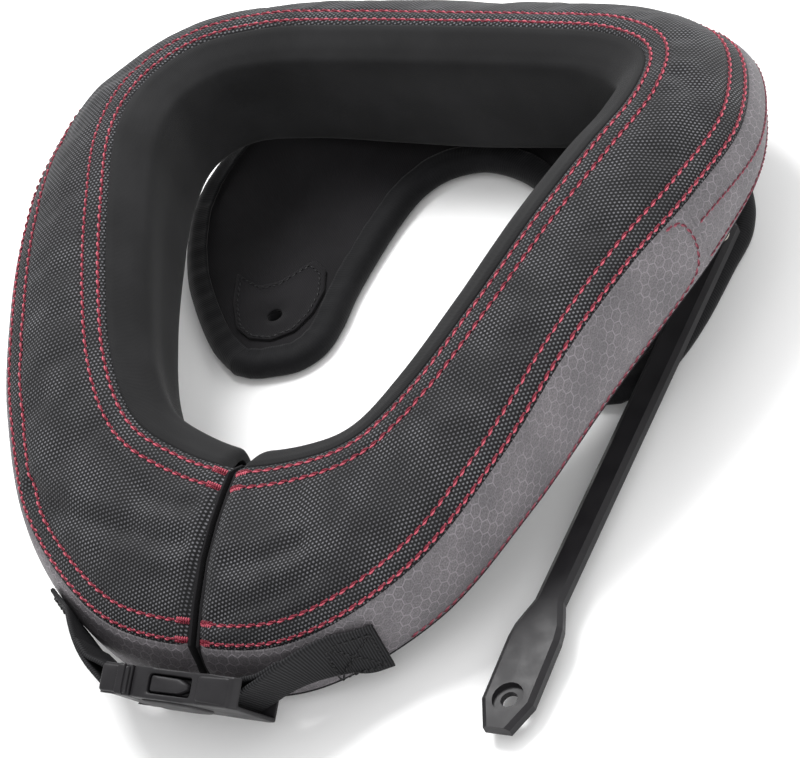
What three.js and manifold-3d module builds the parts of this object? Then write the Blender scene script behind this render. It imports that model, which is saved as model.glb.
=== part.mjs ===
// A motocross neck brace: a padded collar that is open at the front, closed there by two straps
// and a side-release buckle, with a two-lobed flap under its back and a stiff strut on that flap.
// Millimetres, +Z up. The split is at -Y, the back of the neck at +Y, and the part lies on z = 0.
import * as THREE from 'three'
import Module from 'manifold-3d'
import { mergeVertices } from 'three/addons/utils/BufferGeometryUtils.js'

const wasm = await Module()
wasm.setup()

// Collar, driving dimensions
const COLLAR_HALF_WIDTH = 129
const COLLAR_LENGTH = 280
const COLLAR_HEIGHT = 79.5
const NECK_HALF_WIDTH = 95
const NECK_LENGTH = 186.6
const BAND_AT_SPLIT = 55.4
const TOP_CROWN = 11
const WALL_BULGE = 2
const BASE_BULGE = 1.5
const RIDGE_REACH = 12.3
const RIDGE_DROP = 9.5
const FOOT_REACH = 11.5
const FOOT_ROUND = 5
const END_ROUND = 7
const SPLIT_GAP = 2

// Thickness of the sewn layers
const COVER_THICKNESS = 2
const WALL_THICKNESS = 2
const BASE_THICKNESS = 2
const LINING_THICKNESS = 3
const END_THICKNESS = 1.2
const SEAM_GAP = 0.3
const FOAM_GAP = 0.8

// Flap under the back
const FLAP_HALF_WIDTH = 111
const FLAP_LENGTH = 128
const LOBE_SPREAD = 34
const FLAP_THICKNESS = 4
const BINDING_WIDTH = 8
const BINDING_WALL = 1
const BINDING_PLAY = 0.6
const PATCH_THICKNESS = 1
const LACE_HOLE_RADIUS = 2.6
const LACE_HOLE_ACROSS = 51
const LACE_HOLE_FROM_TIPS = 24

// Strut and its post
const STRUT_WIDTH = 10
const STRUT_THICKNESS = 3.6
const STRUT_LENGTH = 209
const STRUT_OFFSET = 105.9
const STRUT_ON_FLAP = 0.59
const PLATE_WIDTH = 18
const PLATE_LENGTH = 47
const PLATE_BEND_DEGREES = 4
const PLATE_HOLE_RADIUS = 2.8
const PLATE_SINK_RADIUS = 5.2
const PLATE_SINK_DEPTH = 1.4
const PLATE_HOLE_FROM_END = 11
const POST_RADIUS = 2
const POST_HEAD_RADIUS = 4.5
const POST_HEAD_THICKNESS = 0.8
const POST_FROM_END = 9

// Straps and buckle
const STRAP_WIDTH = 20
const STRAP_THICKNESS = 1.6
const STRAP_DROP = 0.1
const STRAP_STRAIGHT = 6
const STRAP_BOW = 1.2
const STRAP_TWIST_STEPS = 6
const BUCKLE_STANDOFF = 13
const BUCKLE_LENGTH = 53
const BUCKLE_WIDTH = 24.4
const BUCKLE_THICKNESS = 10
const BUCKLE_HEIGHT = 19.5
const BUCKLE_TILT_DEGREES = 27
const BUCKLE_SHIFT = 4
const MALE_LENGTH = 12
const PLASTIC_WALL = 1.9
const BAR_RADIUS = 1.3
const BAR_FROM_END = 3.5

// Sections of the collar from the split round to the back. inner and outer are the two seams of
// the top cover, as shares of the neck opening and of the collar: across of its half width, along
// of its length from the front, up of the collar's height. base and foot are the heights of the
// lower outer seam and of the bottom of the neck lining, crown how far the top stands up.
const SECTIONS = [
  { inner: [0, 0, 0.615], outer: [0, 0, 0.3], base: 0, foot: 0.15, crown: 0.5 },
  { inner: [0.253, 0.024, 0.631], outer: [0.295, 0.018, 0.331], base: 0.035, foot: 0.163, crown: 0.5 },
  { inner: [0.453, 0.068, 0.683], outer: [0.574, 0.108, 0.467], base: 0.152, foot: 0.226, crown: 0.42 },
  { inner: [0.611, 0.167, 0.769], outer: [0.744, 0.237, 0.636], base: 0.298, foot: 0.314, crown: 0.36 },
  { inner: [0.747, 0.315, 0.868], outer: [0.841, 0.36, 0.769], base: 0.391, foot: 0.377, crown: 0.34 },
  { inner: [0.863, 0.473, 0.957], outer: [0.922, 0.477, 0.823], base: 0.445, foot: 0.415, crown: 0.36 },
  { inner: [0.963, 0.623, 1], outer: [0.988, 0.595, 0.801], base: 0.474, foot: 0.421, crown: 0.42 },
  { inner: [1, 0.769, 0.955], outer: [1, 0.729, 0.733], base: 0.481, foot: 0.403, crown: 0.55 },
  { inner: [0.921, 0.9, 0.875], outer: [0.853, 0.874, 0.62], base: 0.43, foot: 0.32, crown: 0.66 },
  { inner: [0.695, 0.969, 0.824], outer: [0.597, 0.951, 0.51], base: 0.32, foot: 0.225, crown: 0.76 },
  { inner: [0.358, 0.994, 0.79], outer: [0.31, 0.987, 0.4], base: 0.2, foot: 0.16, crown: 0.83 },
  { inner: [0, 1, 0.779], outer: [0, 1, 0.36], base: 0.15, foot: 0.134, crown: 0.86 },
]
const LAST = SECTIONS.length - 1
const STEPS_PER_SECTION = 2
const STEPS_BY_SPLIT = [0.15, 0.35, 0.7]
const WALL_SEAM = 5.8
const WALL_SEAM_GAP = 0.005
const FRONT = -COLLAR_LENGTH / 2
const BACK = COLLAR_LENGTH / 2
const FIRST_X = SPLIT_GAP / 2 + END_THICKNESS + SEAM_GAP

// Free edges of one lobe of the flap, from the middle of the back to the tip. Each point is across
// as a share of the flap's half width, along as a share of its length from the tips, rise as a
// share of the flap's height at its root, and how far the +X lobe is pulled outwards there, as a
// share of the lobe spread.
const FLAP_EDGES = [
  { inner: [0, 0.775, 0.5, 0] },
  { inner: [0.11, 0.75, 0.42, 0.09] },
  { inner: [0.18, 0.69, 0.25, 0.24] },
  { inner: [0.216, 0.588, 0.1, 0.38] },
  { inner: [0.234, 0.447, 0, 0.5], outer: [0.945, 0.74, 0.3, 0] },
  { inner: [0.239, 0.306, 0, 0.6], outer: [0.995, 0.61, 0, 0.03] },
  { inner: [0.23, 0.196, 0, 0.68], outer: [0.95, 0.463, 0, 0.16] },
  { inner: [0.243, 0.102, 0, 0.79], outer: [0.865, 0.314, 0, 0.41] },
  { inner: [0.306, 0.035, 0, 0.88], outer: [0.757, 0.188, 0, 0.69] },
  { inner: [0.405, 0.004, 0, 0.94], outer: [0.631, 0.071, 0, 0.95] },
  { inner: [0.468, -0.004, 0, 0.99], outer: [0.522, 0.004, 0, 1] },
]
// Sections of the collar that the flap's root is sewn under
const ROOT_SECTIONS = [11, 10.1, 9.2, 8.5]

// The reinforcement patch on a lobe, round its lace hole, as shares of its half width
const PATCH_HALF_WIDTH = 25
const PATCH_OUTLINE = [
  [-1, 0.74], [-0.52, 0.52], [-0.22, 0.63], [0.15, 1.07], [0.42, 0.9], [0.58, 0.5], [0.58, 0.1],
  [0.45, -0.25], [0.15, -0.45], [-0.2, -0.45], [-0.5, -0.28], [-0.8, 0.2],
]

const v2 = (x, y) => new THREE.Vector2(x, y)
const v3 = (x, y, z) => new THREE.Vector3(x, y, z)

// Catmull-Rom value through a row of numbers, with the ends continued by the given rule
function smooth(values, t, before, after) {
  const k = Math.min(Math.floor(t), values.length - 2)
  const f = t - k
  const at = (i) => (i < 0 ? before(values) : i >= values.length ? after(values) : values[i])
  const [a, b, c, d] = [at(k - 1), at(k), at(k + 1), at(k + 2)]
  return b + 0.5 * f * (c - a + f * (2 * a - 5 * b + 4 * c - d + f * (3 * (b - c) + d - a)))
}
const mirrored = (sign) => [(v) => sign * v[1], (v) => sign * v[v.length - 2]]
const column = (pick, t, sign = 1) => smooth(SECTIONS.map(pick), t, ...mirrored(sign))

// Everything about the collar at station t, 0 at the split and LAST at the back, on the +X side
function station(t) {
  const neckFront = FRONT + BAND_AT_SPLIT
  const inner = v2(
    column((s) => s.inner[0], t, -1) * NECK_HALF_WIDTH,
    neckFront + column((s) => s.inner[1], t) * NECK_LENGTH,
  )
  const outer = v2(
    column((s) => s.outer[0], t, -1) * COLLAR_HALF_WIDTH,
    FRONT + column((s) => s.outer[1], t) * COLLAR_LENGTH,
  )
  return {
    inner,
    outer,
    width: inner.distanceTo(outer),
    innerTop: column((s) => s.inner[2], t) * COLLAR_HEIGHT,
    outerTop: column((s) => s.outer[2], t) * COLLAR_HEIGHT,
    base: column((s) => s.base, t) * COLLAR_HEIGHT,
    foot: column((s) => s.foot, t) * COLLAR_HEIGHT,
    crown: column((s) => s.crown, t) * TOP_CROWN,
  }
}

// The skin of the collar at a station as a closed outline. Its x is the distance outwards from
// the inner top seam, its y the height. Seams fall on the named corners.
const CORNER = { innerTop: 0, outerTop: 5, base: 7, foot: 10, end: 17 }
function skin(t, x = FIRST_X) {
  const s = station(t)
  const w = s.width
  const fromSplit = t < 1 ? Math.min(Math.max(s.inner.x, x), END_ROUND) : END_ROUND
  const tuck = END_ROUND - Math.sqrt(END_ROUND ** 2 - (END_ROUND - fromSplit) ** 2)
  const top = (share, crown) => v2(
    share * w,
    s.innerTop + (s.outerTop - s.innerTop) * share + s.crown * crown,
  )
  const foot = tuck + FOOT_ROUND - FOOT_REACH
  const under = (share, bulge) => v2(
    w + (foot - w) * share,
    s.base + (s.foot - s.base) * share - BASE_BULGE * bulge,
  )
  const face = (reach, height) => v2(-reach + tuck * Math.min(1, reach / RIDGE_REACH), height)
  const ridge = s.innerTop - RIDGE_DROP
  return [
    top(0, 0), top(0.14, 0.42), top(0.34, 0.84), top(0.56, 1), top(0.8, 0.62), top(1, 0),
    v2(w + WALL_BULGE, (s.outerTop + s.base) / 2),
    v2(w, s.base), under(0.33, 0.85), under(0.67, 0.85),
    v2(foot, s.foot),
    face(FOOT_REACH - 1, s.foot + FOOT_ROUND * 0.4),
    face(FOOT_REACH, s.foot + FOOT_ROUND * 1.4),
    face(FOOT_REACH - 0.4, (s.foot + ridge) / 2 + FOOT_ROUND / 2),
    face(RIDGE_REACH, ridge),
    face(RIDGE_REACH * 0.74, s.innerTop - RIDGE_DROP * 0.5),
    face(RIDGE_REACH * 0.26, s.innerTop - RIDGE_DROP * 0.16),
  ]
}

// Where two offset edges of a closed outline meet, inside corner i
function insetCorner(points, depths, i) {
  const n = points.length
  const edge = (j) => {
    const a = points[(j + n) % n]
    const d = points[(j + 1 + n) % n].clone().sub(a).normalize()
    const inward = v2(d.y, -d.x).multiplyScalar(depths[(j + n) % n])
    return { from: a.clone().add(inward), d }
  }
  const p = edge(i - 1)
  const q = edge(i)
  const cross = p.d.cross(q.d)
  if (Math.abs(cross) < 0.02) return q.from
  const gap = q.from.clone().sub(p.from)
  return p.from.clone().add(p.d.clone().multiplyScalar(gap.cross(q.d) / cross))
}

// Thickness of the layer on each edge of the skin
const LAYERS = Array.from({ length: CORNER.end }, (_, i) => (
  i < CORNER.outerTop ? COVER_THICKNESS
    : i < CORNER.base ? WALL_THICKNESS
      : i < CORNER.foot ? BASE_THICKNESS
        : LINING_THICKNESS
))

// Outline of one sewn layer between two corners of the skin, trimmed back from its seams
function layerOutline(t, from, to) {
  const points = skin(t)
  const outside = []
  const inside = []
  for (let i = from; i <= to; i++) {
    outside.push(points[i % CORNER.end].clone())
    inside.push(insetCorner(points, LAYERS, i))
  }
  const trim = (row) => {
    const last = row.length - 1
    const step = (a, b) => b.clone().sub(a).normalize().multiplyScalar(SEAM_GAP * 0.8)
    const first = row[0].clone().add(step(row[0], row[1]))
    const end = row[last].clone().add(step(row[last], row[last - 1]))
    return [first, ...row.slice(1, last), end]
  }
  return [...trim(outside), ...trim(inside).reverse()]
}

// Outline of the foam inside all the layers
function foamOutline(t) {
  const points = skin(t)
  const depths = LAYERS.map((layer) => layer + FOAM_GAP)
  return points.map((_, i) => insetCorner(points, depths, i))
}

// Puts an outline at a place round the collar. Places run from 0 at the split over +X to
// LAST at the back and on over -X to 2 * LAST at the split again.
function placeOutline(outline, place, atSplit) {
  const side = place <= LAST ? 1 : -1
  const t = side > 0 ? place : 2 * LAST - place
  const s = station(t)
  const d = s.outer.clone().sub(s.inner).normalize()
  return outline(t).map((p) => v3(
    side * (atSplit ?? s.inner.x + d.x * p.x),
    s.inner.y + d.y * p.x,
    p.y,
  ))
}

// Skins a row of equal closed loops and closes both ends. From loop mirrorAt on, the faces are
// split along their other diagonal, so that the two halves of the part mirror each other.
function loft(loops, flatLoop, mirrorAt = loops.length) {
  const n = loops[0].length
  const position = loops.flat().flatMap((p) => [p.x, p.y, p.z])
  const index = []
  for (let j = 0; j + 1 < loops.length; j++) {
    for (let i = 0; i < n; i++) {
      const a = j * n + i
      const b = j * n + ((i + 1) % n)
      if (j < mirrorAt) index.push(a, b, a + n, b, b + n, a + n)
      else index.push(a, b, b + n, a, b + n, a + n)
    }
  }
  const last = (loops.length - 1) * n
  // The first end is closed against the loop's own sense of turning, the last end along it
  const sense = Math.sign(THREE.ShapeUtils.area(flatLoop))
  for (const triangle of THREE.ShapeUtils.triangulateShape(flatLoop, [])) {
    const along = Math.sign(THREE.ShapeUtils.area(triangle.map((i) => flatLoop[i]))) === sense
    const [a, b, c] = along ? triangle : [...triangle].reverse()
    index.push(a, c, b, last + a, last + b, last + c)
  }
  const geometry = new THREE.BufferGeometry()
  geometry.setAttribute('position', new THREE.Float32BufferAttribute(position, 3))
  geometry.setIndex(index)
  return outward(geometry)
}

// Signed volume of a closed mesh, and the same mesh with its faces turned to point out
function volume(geometry) {
  const p = geometry.attributes.position
  const [a, b, c] = [v3(), v3(), v3()]
  let sum = 0
  for (let i = 0; i < geometry.index.count; i += 3) {
    a.fromBufferAttribute(p, geometry.index.getX(i))
    b.fromBufferAttribute(p, geometry.index.getX(i + 1))
    c.fromBufferAttribute(p, geometry.index.getX(i + 2))
    sum += a.dot(b.clone().cross(c)) / 6
  }
  return sum
}
function outward(geometry) {
  if (volume(geometry) > 0) return geometry
  const index = Array.from(geometry.index.array)
  for (let i = 0; i < index.length; i += 3) [index[i], index[i + 1]] = [index[i + 1], index[i]]
  geometry.setIndex(index)
  return geometry
}

// Sweeps an outline round the collar between two places, with the split's flat ends where asked
function sweep(outline, from, to) {
  const half = [...STEPS_BY_SPLIT]
  for (let p = 1; p < LAST; p += 1 / STEPS_PER_SECTION) half.push(p)
  const round = [...half, LAST, ...half.map((p) => 2 * LAST - p).reverse()]
  const places = [from, ...round.filter((p) => p > from + 0.1 && p < to - 0.1), to]
  const loops = places.map((p) => placeOutline(
    outline, p, p === 0 || p === 2 * LAST ? FIRST_X : undefined,
  ))
  return loft(loops, outline(Math.min(from, 2 * LAST - from)), places.findIndex((p) => p >= LAST))
}
const layer = (from, to, start, end) => sweep((t) => layerOutline(t, from, to), start, end)

// Solids for cutting and joining
function solid(geometry) {
  const plain = geometry.clone()
  plain.deleteAttribute('normal')
  plain.deleteAttribute('uv')
  const merged = mergeVertices(plain, 1e-4)
  return new wasm.Manifold(new wasm.Mesh({
    numProp: 3,
    vertProperties: new Float32Array(merged.attributes.position.array),
    triVerts: new Uint32Array(merged.index.array),
  }))
}
function meshOf(manifold) {
  const mesh = manifold.getMesh()
  const geometry = new THREE.BufferGeometry()
  geometry.setAttribute('position', new THREE.BufferAttribute(mesh.vertProperties, 3))
  geometry.setIndex(new THREE.BufferAttribute(mesh.triVerts, 1))
  return geometry
}
const join = (...parts) => meshOf(parts.map(solid).reduce((a, b) => a.add(b)))
const cut = (body, ...tools) => meshOf(tools.map(solid).reduce((a, b) => a.subtract(b), solid(body)))

// An upright cylinder from z0 to z1, and a box between two corners
function upright(radius, x, y, z0, z1, topRadius = radius) {
  const geometry = new THREE.CylinderGeometry(topRadius, radius, z1 - z0, 20)
  return geometry.rotateX(Math.PI / 2).translate(x, y, (z0 + z1) / 2)
}
function box(x0, x1, y0, y1, z0, z1) {
  const geometry = new THREE.BoxGeometry(x1 - x0, y1 - y0, z1 - z0)
  return geometry.translate((x0 + x1) / 2, (y0 + y1) / 2, (z0 + z1) / 2)
}

// The end faces at the split, as flat panels with the outline of the skin
function endPanel(side) {
  const shape = new THREE.Shape(skin(0, SPLIT_GAP / 2 + END_THICKNESS / 2))
  const panel = new THREE.ExtrudeGeometry(shape, { depth: END_THICKNESS, bevelEnabled: false })
  const y = station(0).inner.y
  // outline x runs outwards towards -Y, outline y is up, and the depth runs along X
  const turn = new THREE.Matrix4().makeBasis(v3(0, -1, 0), v3(0, 0, 1), v3(-1, 0, 0))
  panel.applyMatrix4(turn)
  return panel.translate(side > 0 ? SPLIT_GAP / 2 + END_THICKNESS : -SPLIT_GAP / 2, y, 0)
}

// Height of the flap's underside where it is sewn under the collar at a station
const BINDING_HEIGHT = FLAP_THICKNESS + 2 * (BINDING_WALL + BINDING_PLAY)
const ROOT_DROP = FLAP_THICKNESS + BINDING_WALL + BINDING_PLAY + SEAM_GAP + BASE_BULGE / 2
function rootPoint(t) {
  const s = station(t)
  const d = s.outer.clone().sub(s.inner).normalize()
  const [a, b] = [skin(t)[CORNER.base + 1], skin(t)[CORNER.base + 2]]
  const middle = a.clone().lerp(b, 0.5)
  const at = s.inner.clone().addScaledVector(d, middle.x)
  return v3(at.x, at.y, Math.min(middle.y, s.foot) - ROOT_DROP)
}

// Two edges of one lobe. side is 1 for +X and -1 for -X, k runs from 0 at the middle to the tip.
const ROOTS = ROOT_SECTIONS.map(rootPoint)
const ROOT_CORNER = ROOTS[ROOTS.length - 1]
const FLAP_TIPS = ROOTS[0].y - FLAP_LENGTH
const edgePoint = ([across, along, rise, spread], side, rootHeight) => v3(
  across * FLAP_HALF_WIDTH + (side > 0 ? spread * LOBE_SPREAD : 0),
  FLAP_TIPS + along * FLAP_LENGTH,
  rise * rootHeight,
)
const flapEdges = (side) => FLAP_EDGES.map((row, k) => ({
  inner: edgePoint(row.inner, side, ROOTS[0].z),
  outer: k < ROOTS.length ? ROOTS[k].clone() : edgePoint(row.outer, side, ROOT_CORNER.z),
}))

// A smooth line through one column of edge points, never below the ground
function edgeLine(side, which) {
  const points = flapEdges(side).map((row) => row[which])
  const value = (axis, t, sign) => smooth(
    points.map((p) => p[axis]), t,
    (v) => sign * v[1], (v) => 2 * v[v.length - 1] - v[v.length - 2],
  )
  return (t) => v3(side * value('x', t, -1), value('y', t, 1), Math.max(0, value('z', t, 1)))
}

// The same line moved towards the middle of the flap by a distance, at a height above its underside
function insetLine(side, which, distance, lift) {
  const line = edgeLine(side, which)
  const end = FLAP_EDGES.length - 1
  return (t) => {
    const a = line(Math.max(t - 0.05, 0))
    const b = line(Math.min(t + 0.05, end))
    const d = b.sub(a).setZ(0).normalize()
    const turn = (which === 'inner' ? 1 : -1) * side
    const inward = v3(-d.y * turn, d.x * turn, 0).multiplyScalar(distance)
    return line(t).add(inward).add(v3(0, 0, lift))
  }
}

const FLAP_STEPS = 2
const BINDING_START = ROOTS.length - 0.7
const PANEL_SHORT = 0.4
const PANEL_INSET = BINDING_WALL + 3 * SEAM_GAP
const PANEL_SHARES = [0.25, 0.5, 0.75]

// Foam panel of the flap: a strip round the arch from one lobe's tip to the other's. It is level
// across the binding at each edge and rises smoothly between them.
function flapPanel() {
  const bottom = BINDING_WALL + BINDING_PLAY
  const end = FLAP_EDGES.length - 1 - PANEL_SHORT
  const loops = []
  const addSide = (side, ks) => {
    const line = (which, inset) => insetLine(side, which, inset, bottom)
    const lines = [
      line('inner', PANEL_INSET), line('inner', BINDING_WIDTH - 1),
      line('outer', BINDING_WIDTH + 0.5), line('outer', PANEL_INSET),
    ]
    for (const k of ks) {
      const [a, innerFlat, outerFlat, b] = lines.map((at) => at(k))
      const between = PANEL_SHARES.map((w) => {
        const p = innerFlat.clone().lerp(outerFlat, w)
        p.z = a.z + (b.z - a.z) * w * w * (3 - 2 * w)
        return p
      })
      const row = [a, innerFlat, ...between, outerFlat, b]
      const top = row.map((p) => p.clone().add(v3(0, 0, FLAP_THICKNESS)))
      loops.push([...row, ...top.reverse()])
    }
  }
  const ks = []
  for (let k = 0; k < end; k += 1 / FLAP_STEPS) ks.push(k)
  ks.push(end)
  addSide(1, [...ks].reverse())
  addSide(-1, ks.slice(1))
  const arc = (lift, sign) => loops[0].slice(0, loops[0].length / 2).map((_, i, row) => {
    const w = i / (row.length - 1)
    return v2(w, lift + sign * w * (1 - w))
  })
  return loft(loops, [...arc(0, -1), ...arc(0.1, 1).reverse()], (loops.length - 1) / 2)
}

// Folded binding: a channel that closes over the flap's free edge from root to root
function flapBinding() {
  const end = FLAP_EDGES.length - 1
  const stops = []
  const add = (side, which, ks) => ks.forEach((k) => stops.push({ side, which, k }))
  const run = (from, to) => {
    const ks = []
    const count = Math.ceil(Math.abs(to - from) * FLAP_STEPS)
    for (let i = 0; i <= count; i++) ks.push(from + (to - from) * i / count)
    return ks
  }
  add(1, 'outer', run(BINDING_START, end))
  add(1, 'inner', run(end, 0))
  add(-1, 'inner', run(0, end).slice(1))
  add(-1, 'outer', run(end, BINDING_START))
  const h = BINDING_HEIGHT
  const w = BINDING_WALL
  const channel = [
    [0, 0], [BINDING_WIDTH, 0], [BINDING_WIDTH, w], [w, w],
    [w, h - w], [BINDING_WIDTH, h - w], [BINDING_WIDTH, h], [0, h],
  ]
  const loops = stops.map(({ side, which, k }) => (
    channel.map(([depth, lift]) => insetLine(side, which, depth, lift)(k))
  ))
  return loft(loops, channel.map(([x, y]) => v2(x, y)), (loops.length - 1) / 2)
}

const holeCentre = (side) => v2(
  side * (LACE_HOLE_ACROSS + (side > 0 ? LOBE_SPREAD * 0.7 : 0)),
  FLAP_TIPS + LACE_HOLE_FROM_TIPS,
)
function laceHole(side, radius) {
  const c = holeCentre(side)
  return upright(radius, c.x, c.y, -1, BINDING_HEIGHT + 2 * PATCH_THICKNESS)
}

// Notched patch sewn on a lobe round its hole
function lobePatch(side) {
  const c = holeCentre(side)
  const points = PATCH_OUTLINE.map(([x, y]) => v2(
    c.x - side * x * PATCH_HALF_WIDTH,
    c.y + y * PATCH_HALF_WIDTH,
  ))
  const shape = new THREE.Shape(points)
  const patch = new THREE.ExtrudeGeometry(shape, { depth: PATCH_THICKNESS, bevelEnabled: false })
  patch.translate(0, 0, BINDING_WALL + BINDING_PLAY + FLAP_THICKNESS + SEAM_GAP)
  return cut(patch, laceHole(side, LACE_HOLE_RADIUS))
}

// Strut: a bevelled bar along Y with a lozenge plate at its front end, lofted along its length
const STRUT_BASE = BINDING_HEIGHT + SEAM_GAP
const STRUT_REAR = FLAP_TIPS + FLAP_LENGTH * STRUT_ON_FLAP
const STRUT_FRONT = STRUT_REAR - STRUT_LENGTH
const PLATE_START = STRUT_FRONT + PLATE_LENGTH
const POST_Y = STRUT_REAR - POST_FROM_END
function strut() {
  const bar = STRUT_WIDTH / 2
  const plate = PLATE_WIDTH / 2
  // place along the plate from the bend, as a share of its length, and half width there
  const rows = [
    { y: STRUT_REAR, half: bar * 0.5 },
    { y: STRUT_REAR - bar * 0.6, half: bar },
    { y: PLATE_START, half: bar },
    { y: PLATE_START - PLATE_LENGTH * 0.2, half: plate * 0.93 },
    { y: PLATE_START - PLATE_LENGTH * 0.3, half: plate },
    { y: PLATE_START - PLATE_LENGTH * 0.79, half: plate },
    { y: STRUT_FRONT, half: plate * 0.52 },
  ]
  const bend = Math.tan(THREE.MathUtils.degToRad(PLATE_BEND_DEGREES))
  const bevel = STRUT_THICKNESS * 0.3
  const loops = rows.map(({ y, half }) => {
    const z = STRUT_BASE - Math.max(0, PLATE_START - y) * bend
    const h = STRUT_THICKNESS
    const section = [
      [-half, 0], [half, 0], [half, h - bevel], [half - bevel * 1.6, h],
      [-half + bevel * 1.6, h], [-half, h - bevel],
    ]
    return section.map(([x, up]) => v3(STRUT_OFFSET + x, y, z + up))
  })
  const flat = [v2(-1, 0), v2(1, 0), v2(1, 0.7), v2(0.8, 1), v2(-0.8, 1), v2(-1, 0.7)]
  const body = loft(loops, flat)
  const holeY = STRUT_FRONT + PLATE_HOLE_FROM_END
  const top = STRUT_BASE + STRUT_THICKNESS - (PLATE_START - holeY) * bend
  const through = upright(PLATE_HOLE_RADIUS, STRUT_OFFSET, holeY, -1, top + 2)
  const sink = upright(PLATE_SINK_RADIUS, STRUT_OFFSET, holeY, top - PLATE_SINK_DEPTH, top + 2)
  return cut(body, through, sink, postTool())
}
const postTool = () => upright(
  POST_RADIUS + SEAM_GAP, STRUT_OFFSET, POST_Y, -1, STRUT_BASE + STRUT_THICKNESS + 1,
)
const headTool = () => upright(
  POST_HEAD_RADIUS + SEAM_GAP, STRUT_OFFSET, POST_Y, -1, BINDING_WALL + SEAM_GAP / 2,
)

// Post that pins the strut to the flap, its lower head let into the binding
function strutPost() {
  const top = STRUT_BASE + STRUT_THICKNESS + SEAM_GAP
  const low = BINDING_WALL - POST_HEAD_THICKNESS
  return join(
    upright(POST_RADIUS, STRUT_OFFSET, POST_Y, low, top + POST_HEAD_THICKNESS / 2),
    upright(POST_HEAD_RADIUS, STRUT_OFFSET, POST_Y, low, low + POST_HEAD_THICKNESS),
    upright(POST_HEAD_RADIUS, STRUT_OFFSET, POST_Y, top, top + POST_HEAD_THICKNESS),
  )
}

// Buckle, built upright in the plane of the front: x across, z up, its middle at the buckle's
// height. Both halves and the straps' eyes are then leant forward round that middle.
const BUCKLE_Y = FRONT - BUCKLE_STANDOFF
const BUCKLE_X0 = BUCKLE_SHIFT - BUCKLE_LENGTH / 2
const BUCKLE_X1 = BUCKLE_SHIFT + BUCKLE_LENGTH / 2
const MOUTH_X = BUCKLE_X0 + MALE_LENGTH
const HALF_T = BUCKLE_THICKNESS / 2
const HALF_W = BUCKLE_WIDTH / 2
const STRAP_SLOT = STRAP_WIDTH / 2 + 0.8
const LOOP_RADIUS = BAR_RADIUS + SEAM_GAP + STRAP_THICKNESS
const BAR_MALE_X = BUCKLE_X0 + BAR_RADIUS + 0.4
const BAR_FEMALE_X = BUCKLE_X1 - LOOP_RADIUS - BAR_FROM_END
const WINDOW_X1 = MOUTH_X + BUCKLE_LENGTH * 0.42
const PRONG_HEIGHT = 3.4
const PRONG_OUTER = HALF_W - PLASTIC_WALL - 1.4

// Leans a buckle piece forward, each point by the share of the tilt that its distance gets
function lean(geometry, share = () => 1) {
  const p = geometry.attributes.position
  const axis = new THREE.Vector3(1, 0, 0)
  const middle = new THREE.Vector3(0, BUCKLE_Y, BUCKLE_HEIGHT)
  for (let i = 0; i < p.count; i++) {
    const tilt = THREE.MathUtils.degToRad(BUCKLE_TILT_DEGREES) * share(p.getX(i))
    const moved = new THREE.Vector3().fromBufferAttribute(p, i).sub(middle)
    moved.applyAxisAngle(axis, tilt).add(middle)
    p.setXYZ(i, moved.x, moved.y, moved.z)
  }
  return geometry
}

// A front outline pulled through the buckle's thickness
function plate(points, halfDepth) {
  const shape = new THREE.Shape(points.map(([x, z]) => v2(x, z)))
  const geometry = new THREE.ExtrudeGeometry(shape, { depth: 2 * halfDepth, bevelEnabled: false })
  geometry.rotateX(Math.PI / 2)
  return geometry.translate(0, BUCKLE_Y + halfDepth, BUCKLE_HEIGHT)
}
function buckleBox(x0, x1, depth, z0, z1) {
  return box(x0, x1, BUCKLE_Y - depth, BUCKLE_Y + depth, BUCKLE_HEIGHT + z0, BUCKLE_HEIGHT + z1)
}
function bar(x) {
  return upright(BAR_RADIUS, x, BUCKLE_Y, BUCKLE_HEIGHT - HALF_W + 0.5, BUCKLE_HEIGHT + HALF_W - 0.5)
}

function buckleFemale() {
  const neck = HALF_W - 0.6
  const flare = BUCKLE_X1 - BUCKLE_LENGTH * 0.24
  const half = [
    [MOUTH_X, neck - 0.6], [MOUTH_X + 2, neck], [WINDOW_X1 - 2, neck - 0.5],
    [flare, HALF_W + 0.3], [BUCKLE_X1 - 2.5, HALF_W + 0.8], [BUCKLE_X1, HALF_W - 1],
  ]
  const outline = [...half, ...half.map(([x, z]) => [x, -z]).reverse()]
  const depth = HALF_T - PLASTIC_WALL
  const bed = WINDOW_X1 + PLASTIC_WALL
  // The side towards the collar is open where the strap leaves its bar
  const strapMouth = buckleBox(bed, BUCKLE_X1 + 1, HALF_T, -STRAP_SLOT, STRAP_SLOT)
  strapMouth.translate(0, HALF_T, 0)
  const body = cut(
    plate(outline, HALF_T),
    buckleBox(MOUTH_X - 1, WINDOW_X1, depth, -PRONG_OUTER - SEAM_GAP, PRONG_OUTER + SEAM_GAP),
    buckleBox(MOUTH_X + BUCKLE_LENGTH * 0.12, WINDOW_X1, depth, -HALF_W * 2, HALF_W * 2),
    buckleBox(bed, BUCKLE_X1 + 1, LOOP_RADIUS + SEAM_GAP, -STRAP_SLOT, STRAP_SLOT),
    strapMouth,
  )
  return lean(join(body, bar(BAR_FEMALE_X)))
}

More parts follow.
